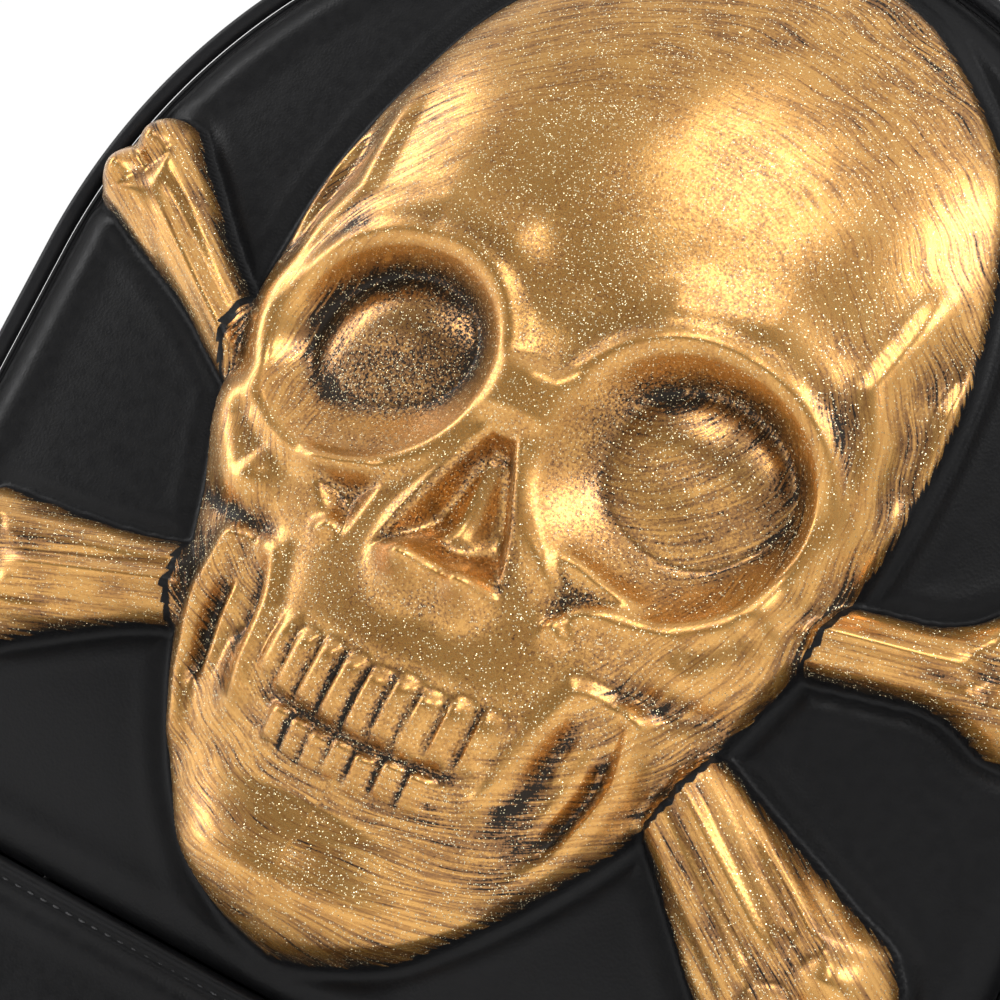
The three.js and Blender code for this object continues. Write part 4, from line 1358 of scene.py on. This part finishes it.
def make_patch(name, mats, inset=3.0, crosses=()):
    """A flat leather patch, stitched round its edge and with crossed boxes where a strap is sewn in."""
    x0, y0, z0, x1, y1, z1 = box_mm(name)
    thick, r = y1 - y0, PATCH_RADIUS
    x, z = patch_grid(x0, x1, z0, z1, r, 1.4)
    away = edge_distance(x, z, x0, x1, z0, z1, r)
    height = thick - 0.9 * np.exp(-away / 0.7) - groove(away, inset, 0.9, 0.6)
    height += 0.18 * soft_noise(x, z, 9) - 0.18
    patch = plate(name + "_form", x, z, np.full_like(x, y0 + 0.05), y0 + height, [mats["smooth"]])
    finish_piece(patch, "body", [name])
    ring = rectangle_line(x0 + inset, x1 - inset, z0 + inset, z1 - inset, r - inset + 1, y1 - 0.45)
    runs = [dict(path=ring, normal=BEHIND, closed=True)]
    for cx0, cx1, cz0, cz1 in crosses:
        low_left, low_right, high_right, high_left = (
            (x, y1 - 0.05, z) for x, z in ((cx0, cz0), (cx1, cz0), (cx1, cz1), (cx0, cz1)))
        box = [low_left, low_right, high_right, high_left, low_left, high_right]
        for line in (box, [low_right, high_left]):
            runs.append(dict(path=resample(line, 0.6), normal=BEHIND, pitch=3.0, length=2.0))
    stitches(name + "_stitch", runs, "body", mats)


def strap_x(z):
    """How far out a strap's middle lies: it swings outwards from the yoke to its anchor."""
    down = np.clip((STRAP_TOP_Z - np.minimum(z, STRAP_TOP_Z)) / (STRAP_TOP_Z - ANCHOR_Z), 0, None)
    return 48 + 66 * down ** 1.3


def strap_path(points, side, step):
    """A line through (y, z) points that follows the strap on its side."""
    line = resample(catmull(points), step)
    return np.stack([side * strap_x(line[:, 1]), line[:, 0], line[:, 1]], 1)


def strap_frame(path):
    """Across the strap, and out from its outer face."""
    along = directions(path)
    lift = np.stack([np.zeros(len(path)), -along[:, 2], along[:, 1]], 1)
    lift /= np.linalg.norm(lift, axis=1, keepdims=True)
    return np.broadcast_to([1.0, 0, 0], path.shape), lift


def padded_section(width, thick):
    """A padded strap: flat bound edges, a sewn line inside each and a crowned middle."""
    u = np.sin(np.linspace(-np.pi / 2, np.pi / 2, 33)) * width / 2
    away = width / 2 - np.abs(u)
    rise = (thick / 2) * (0.42 + 0.58 * smooth(away, 2.5, 10)) - groove(away, STRAP_SEAM, 1.0, 0.7)
    rise *= np.where(away < 0.05, 0.45, 1.0)
    upper = np.stack([u[::-1], rise[::-1]], 1)
    lower = np.stack([u, -rise], 1)
    return np.vstack([upper, lower])


def make_shoulder_straps(mats):
    route = [(84.9, 381), (86.5, 366), (97, 340), (110, 298), (113, 245), (107, 188), (97, 141)]
    half = STRAP_WIDTH / 2
    for name, side in SIDES:
        path = strap_path(route, side, 2.5)
        across, lift = strap_frame(path)
        # narrower and flatter where the webbing is sewn in
        taper = 1 - 0.16 * smooth(-path[:, 2], -175, -141)
        flatten = 1 - 0.45 * smooth(-path[:, 2], -152, -141)
        section = scaled(padded_section(STRAP_WIDTH, STRAP_THICKNESS), taper, flatten)
        materials = [mats["leather"], mats["mesh"], mats["webbing"]]
        strap = swept(f"shoulder_strap_{name}_form", path, across, lift, section, materials)
        merge_points(strap)

        def face_kind(centre, normal, side=side):
            """Webbing on the edges, mesh towards the wearer, leather outside."""
            off = half - np.abs(centre[:, 0] - side * strap_x(centre[:, 2]))
            return np.where(off < 4.0, 2, np.where(normal[:, 1] < -0.1, 1, 0))

        tint_faces(strap, face_kind)
        finish_piece(strap, "body", [f"shoulder_strap_{name}"])
        runs = []
        for edge in (-1, 1):
            for face in (-1, 1):
                row = path + across * (edge * (half - STRAP_SEAM) * taper)[:, None] + lift * (face * 2.2)
                runs.append(dict(path=row[4:-6], normal=lift[4:-6] * face))
        stitches(f"shoulder_strap_{name}_stitch", runs, "body", mats)


def make_webbing(mats):
    """Webbing from the anchor up behind the buckle, over its middle bar and down again as a loose tail.

    The end of each padded strap holds the buckle's upper bar with a short loop.
    """
    routes = (
        ("strap_webbing_{}_form", "strap_webbing_{}", 1.6, soft_rectangle(24.6, 1.5, 0.6, per=2, across=12),
         [(83.6, 26), (83.8, 34), (86.5, 60), (91.2, 100), (92.6, 118), (92.6, 130), (94.2, 133.6),
          (97.4, 133.4), (99.9, 130.6), (100.6, 124), (99.6, 112), (98.6, 92), (97.0, 74)]),
        ("strap_end_loop_{}", None, 1.2, soft_rectangle(25.5, 1.2, 0.5, per=2, across=12),
         [(97.5, 146), (99.6, 141), (100.6, 136.6), (99.2, 132.0), (96.4, 131.6), (94.0, 134.4),
          (93.6, 140), (95.8, 146)]),
    )
    for name, side in SIDES:
        for piece_name, node, step, section, route in routes:
            path = strap_path(route, side, step)
            piece = swept(piece_name.format(name), path, *strap_frame(path), section, [mats["webbing"]])
            finish_piece(piece, "body", [node.format(name)] if node else [])


def make_handle(mats):
    """The carry handle, round and pinched where it is sewn underneath, and the hang loop behind it."""
    half, base = 42.0, 432.0
    rises = [(-half, 0), (-half + 1, 8), (-half + 10, 19), (-15, 25)]
    grip = rises + [(-x, rise) for x, rise in reversed(rises)]
    line = resample(catmull([(x, base + rise) for x, rise in grip], 16), 1.5)
    path = in_xz(line, 52.0)
    side = np.broadcast_to(BEHIND, path.shape)
    lift = np.cross(side, directions(path))
    run = np.abs(np.linspace(-1, 1, len(path)))
    radius = 5.3 - 0.9 * smooth(run, 0.86, 1.0)
    flat = 1 - 0.12 * smooth(run, 0.7, 1.0)
    round_part = circle(1.0, 24)
    from_below = np.degrees(np.arctan2(round_part[:, 1], round_part[:, 0])) + 90
    pinch = 1 - 0.09 * np.exp(-(from_below / 14) ** 2)
    section = scaled(round_part * pinch[:, None], radius, radius * flat)
    handle = swept("carry_handle_form", path, side, lift, section, [mats["leather"]])
    finish_piece(handle, "handle", ["carry_handle"])
    rows = [(path + side * k - lift * 4.55)[6:-6] for k in (-1.4, 1.4)]
    runs = [dict(path=row, normal=-lift[6:-6], pitch=3.2, length=2.1) for row in rows]
    stitches("carry_handle_stitch", runs, "handle", mats)
    loop = catmull([(-9, 386.6), (-9, 400), (-5, 406), (5, 406), (9, 400), (9, 386.6)], 12)
    path = in_xz(resample(loop, 1.0), 82.4)
    out = in_xz(-outward(path[:, [0, 2]]), 0)
    side = np.broadcast_to(BEHIND, path.shape)
    section = soft_rectangle(8.8, 1.8, 0.6, per=2, across=6)
    piece = swept("hang_loop_form", path, side, out, section, [mats["webbing"]])
    finish_piece(piece, "body", ["hang_loop"])


# ---------------------------------------------------------------- side pockets

def pocket_line(depth, step):
    """Round a side pocket from front to rear, seen from above: (distance out from the wall, y)."""
    corners = [(0, -44), (depth * 0.55, -40.5), (depth - 2, -35), (depth, -24),
               (depth, 34), (depth - 2, 45), (depth * 0.55, 50.5), (0, 54)]
    return resample(resample(catmull(corners, 10), 1.6), step)


def pocket_skin(side, base, count=96):
    """The gathered outer surface of a side pocket, as a grid of points."""
    levels = [(POCKET_BOTTOM + 0.4, k) for k in (0.02, 0.4, 0.75, 0.93)]
    levels += [(z, 1.0) for z in np.linspace(POCKET_BOTTOM + 1.5, POCKET_TOP, 56)]
    s = np.linspace(0, 1, count)
    rows = []
    for z, spread in levels:
        t = (z - POCKET_BOTTOM) / (POCKET_TOP - POCKET_BOTTOM)
        bulge = 0.10 * math.sin(math.pi * min(t * 1.05, 1))
        tuck = 0.16 * (1 - min(t / 0.07, 1)) ** 2
        line = pocket_line(POCKET_DEPTH * 0.95 * (0.90 + bulge - tuck) * spread, 0.5)
        line = line[np.linspace(0, len(line) - 1, count).astype(int)]
        pleats = np.sin(s * 2 * np.pi * POCKET_PLEATS + 0.8 * np.sin(9 * s))
        gather = 0.75 * math.exp(-(POCKET_TOP - z) / 13) * pleats
        sag = 0.7 * soft_noise(s * 160, np.full(count, z), 17)
        out = np.clip(line[:, 0] + (gather + sag * spread) * np.sin(np.pi * s), 0.0, POCKET_DEPTH - 0.2)
        rows.append(np.stack([side * (base + out), line[:, 1], np.full(count, z)], 1))
    return np.stack(rows)


def make_pockets(mats):
    base = HALF + 0.4
    middle_y = 5
    for name, side in SIDES:
        grid = pocket_skin(side, base)
        within = grid.copy()
        within[:, :, 0] = side * np.maximum(np.abs(grid[:, :, 0]) - 1.6, base - 0.1)
        within[:, :, 1] = middle_y + (grid[:, :, 1] - middle_y) * 0.967
        pocket = shell(f"side_pocket_{name}_form", grid, within, [mats["leather"], mats["lining"]])
        finish_piece(pocket, "body", [f"side_pocket_{name}"])
        # the hem: a ribbed elastic edge over the gathers
        line = pocket_line(POCKET_DEPTH * 0.86, 0.5)
        s = np.linspace(0, 1, len(line))
        line[:, 0] += 0.5 * np.sin(s * 2 * np.pi * POCKET_PLEATS) * np.sin(np.pi * s)
        path = np.stack([side * (base + line[:, 0]), line[:, 1], np.full(len(line), POCKET_TOP + 4.4)], 1)
        up = np.broadcast_to([0, 0, 1.0], path.shape)
        swell = soft_rectangle(8.6, 2.2, 1.0, per=3, crown=0.5, across=10)
        swell[:, 1] -= 0.45 * np.exp(-(swell[:, 0] / 0.8) ** 2) * np.sign(swell[:, 1])
        section = scaled(swell, tall=1 + 0.16 * np.sin(s * 2 * np.pi * POCKET_PLEATS * 3))
        out = np.cross(directions(path), up)
        hem = swept(f"pocket_hem_{name}_form", path, up, out, section, [mats["webbing"]])
        finish_piece(hem, "body", [f"pocket_hem_{name}"])
        z = np.arange(44, 149, 1.0)
        x = np.full_like(z, side * (base + 0.35))
        rows = [np.stack([x, np.full_like(z, y), z], 1) for y in (-45.5, 55.5)]
        runs = [dict(path=row, normal=np.array([side, 0.0, 0.0]), pitch=3.4) for row in rows]
        stitches(f"side_pocket_{name}_stitch", runs, "body", mats)


# ---------------------------------------------------------------- inside and base

def make_inner_pockets(mats):
    """The laptop sleeve and the slip pocket on the inside of the back."""
    for name, bind in (("laptop_sleeve", 7.0), ("slip_pocket", 5.0)):
        x0, front, z0, x1, rear, z1 = box_mm(name)
        x, z = patch_grid(x0, x1, z0, z1, INNER_POCKET_RADIUS, 2.6)
        away = edge_distance(x, z, x0, x1, z0, z1, INNER_POCKET_RADIUS)
        pull = 0.35 * soft_noise(x, z, 19) * smooth(away, 2, 12) + 0.35 * groove(z1 - z, bind, 1.0, 1.0)
        y = np.clip(front + 0.45 + pull, front, rear - 0.6)
        sheet = plate(name + "_form", x, z, y, np.full_like(x, rear - 0.1), [mats["lining"], mats["tape"]])
        tint_faces(sheet, lambda centre, normal, edge=z1 - bind: centre[:, 2] > edge)
        finish_piece(sheet, "body", [name])
        line = np.arange(x0 + 4, x1 - 3, 1.0)
        row = np.stack([line, np.full_like(line, front + 0.55), np.full_like(line, z1 - bind + 0.8)], 1)
        runs = [dict(path=row, normal=AHEAD)]
        if name == "slip_pocket":
            left, right, low, high, y = x0 + 3, x1 - 3, z0 + 3, z1 - 4, front + 0.6
            edges = [(left, y, high), (left, y, low), (right, y, low), (right, y, high)]
            runs.append(dict(path=resample(edges, 1.0), normal=AHEAD))
        stitches(name + "_stitch", runs, "body", mats)


def make_sleeve_tab(mats):
    """The webbing tab that closes the sleeve, sewn down at its end."""
    route = [(72.0, 304.2), (66, 304.3), (58, 304.1), (52.4, 303.4),
             (50.3, 300.4), (50.0, 292), (50.0, 278), (50.0, 266)]
    line = resample(catmull(route), 1.0)
    path = np.stack([np.zeros(len(line)), line[:, 0], line[:, 1]], 1)
    widths = 37.6 * (1 - 0.18 * smooth(-path[:, 2], -272, -265))
    section = scaled(soft_rectangle(1.0, 1.6, 0.02, per=2, across=14), wide=widths)
    tab = swept("sleeve_tab_form", path, *strap_frame(path), section, [mats["webbing"]])
    finish_piece(tab, "tab", ["sleeve_tab"])
    half, y, low, high = 14, 49.1, 269, 287
    box = [(-half, y, low), (half, y, low), (half, y, high), (-half, y, high), (-half, y, low)]
    run = dict(path=resample(box, 0.8), normal=AHEAD, pitch=3.0, length=2.0)
    stitches("sleeve_tab_stitch", [run], "tab", mats)


def make_door_backing(mats):
    front, rear = box_mm("door_backing")[1::3]
    x, z = panel_grid(SEAM_Z + 0.4, ARCH_TOP, 3.0, 96, BACKING_INSET)
    half = HALF - BACKING_INSET
    away = np.minimum(half - np.where(z > ARCH_Z, np.hypot(x, z - ARCH_Z), np.abs(x)), z - SEAM_Z)
    y = rear - 0.3 + 0.28 * soft_noise(x, z, 24) - 0.5 * np.exp(-away / 2) - groove(away, 9, 1.2, 0.35)
    y = np.clip(y, front + 0.8, rear)
    backing = plate("door_backing_form", x, z, np.full_like(x, front + 0.05), y, [mats["lining"]])
    finish_piece(backing, "door", ["door_backing"])
    arch = arch_outline(BACKING_INSET + 9, 2.0, SEAM_Z + 9)
    run = dict(path=in_xz(arch, rear - 0.35), normal=BEHIND)
    stitches("door_backing_stitch", [run], "door", mats)


def slab(name, x, y, low, high, materials):
    """A closed flat piece lying on its side: plate() turned so that its grid lies in x and y."""
    obj = plate(name, x, y, -high, -low, materials)
    obj.data.transform(Matrix(((1, 0, 0, 0), (0, 0, 1, 0), (0, -1, 0, 0), (0, 0, 0, 1))))
    return obj


def make_base(mats):
    pieces = (("base_panel", "leather", "grain_leather"), ("base_board", "lining", "lining"))
    for name, material, slot in pieces:
        x0, y0, z0, x1, y1, z1 = box_mm(name)
        x, y = patch_grid(x0, x1, y0, y1, BASE_RADIUS, 2.2)
        away = edge_distance(x, y, x0, x1, y0, y1, BASE_RADIUS)
        roll = (z1 - z0) * 0.35 * np.exp(-(away / 1.4) ** 2)
        under = z0 + roll
        if name == "base_panel":
            under += groove(away, 6, 1.1, 0.8)
        over = z1 - roll * 0.8 - groove(away, 5, 1.0, 0.3)
        piece = slab(name + "_form", x, y, under, over, [mats[material]])
        finish_piece(piece, "body", [name])
        if name == "base_panel":
            ring = rectangle_line(x0 + 6, x1 - 6, y0 + 6, y1 - 6, 7, 0)
            line = np.stack([ring[:, 0], ring[:, 2], np.full(len(ring), z0 + 0.75)], 1)
            run = dict(path=line, normal=np.array([0, 0, -1.0]), closed=True)
            stitches("base_stitch", [run], "body", mats)


def make_floor():
    mat = Mat("pale_floor", (0.86, 0.86, 0.86), 0.75)
    mat.set(roughness=mat.cloud(mat.position(), 0.004, 2, 0.7, 0.8))
    reach, z = 60000.0, -0.4
    corners = [(-reach, -reach, z), (reach, -reach, z), (reach, reach, z), (-reach, reach, z)]
    floor = make_object("floor", corners, [(0, 1, 2, 3)], [mat.material], smooth=False)


def main():
    mats = make_materials()
    for make in (make_front, make_band, make_pipings, make_walls, make_zip, make_hardware, make_back_panel):
        make(mats)
    for side, _ in SIDES:
        make_pad(f"back_pad_{side}", mats, (195, 275))
    make_pad("back_pad_lower", mats, ())
    make_patch("strap_yoke", mats, crosses=[(-66, -30, 355, 379), (30, 66, 355, 379)])
    for side, _ in SIDES:
        make_patch(f"strap_anchor_{side}", mats)
    for make in (make_shoulder_straps, make_webbing, make_handle, make_pockets,
                 make_inner_pockets, make_sleeve_tab, make_door_backing, make_base):
        make(mats)
    make_floor()


make_camera()
make_studio()
main()
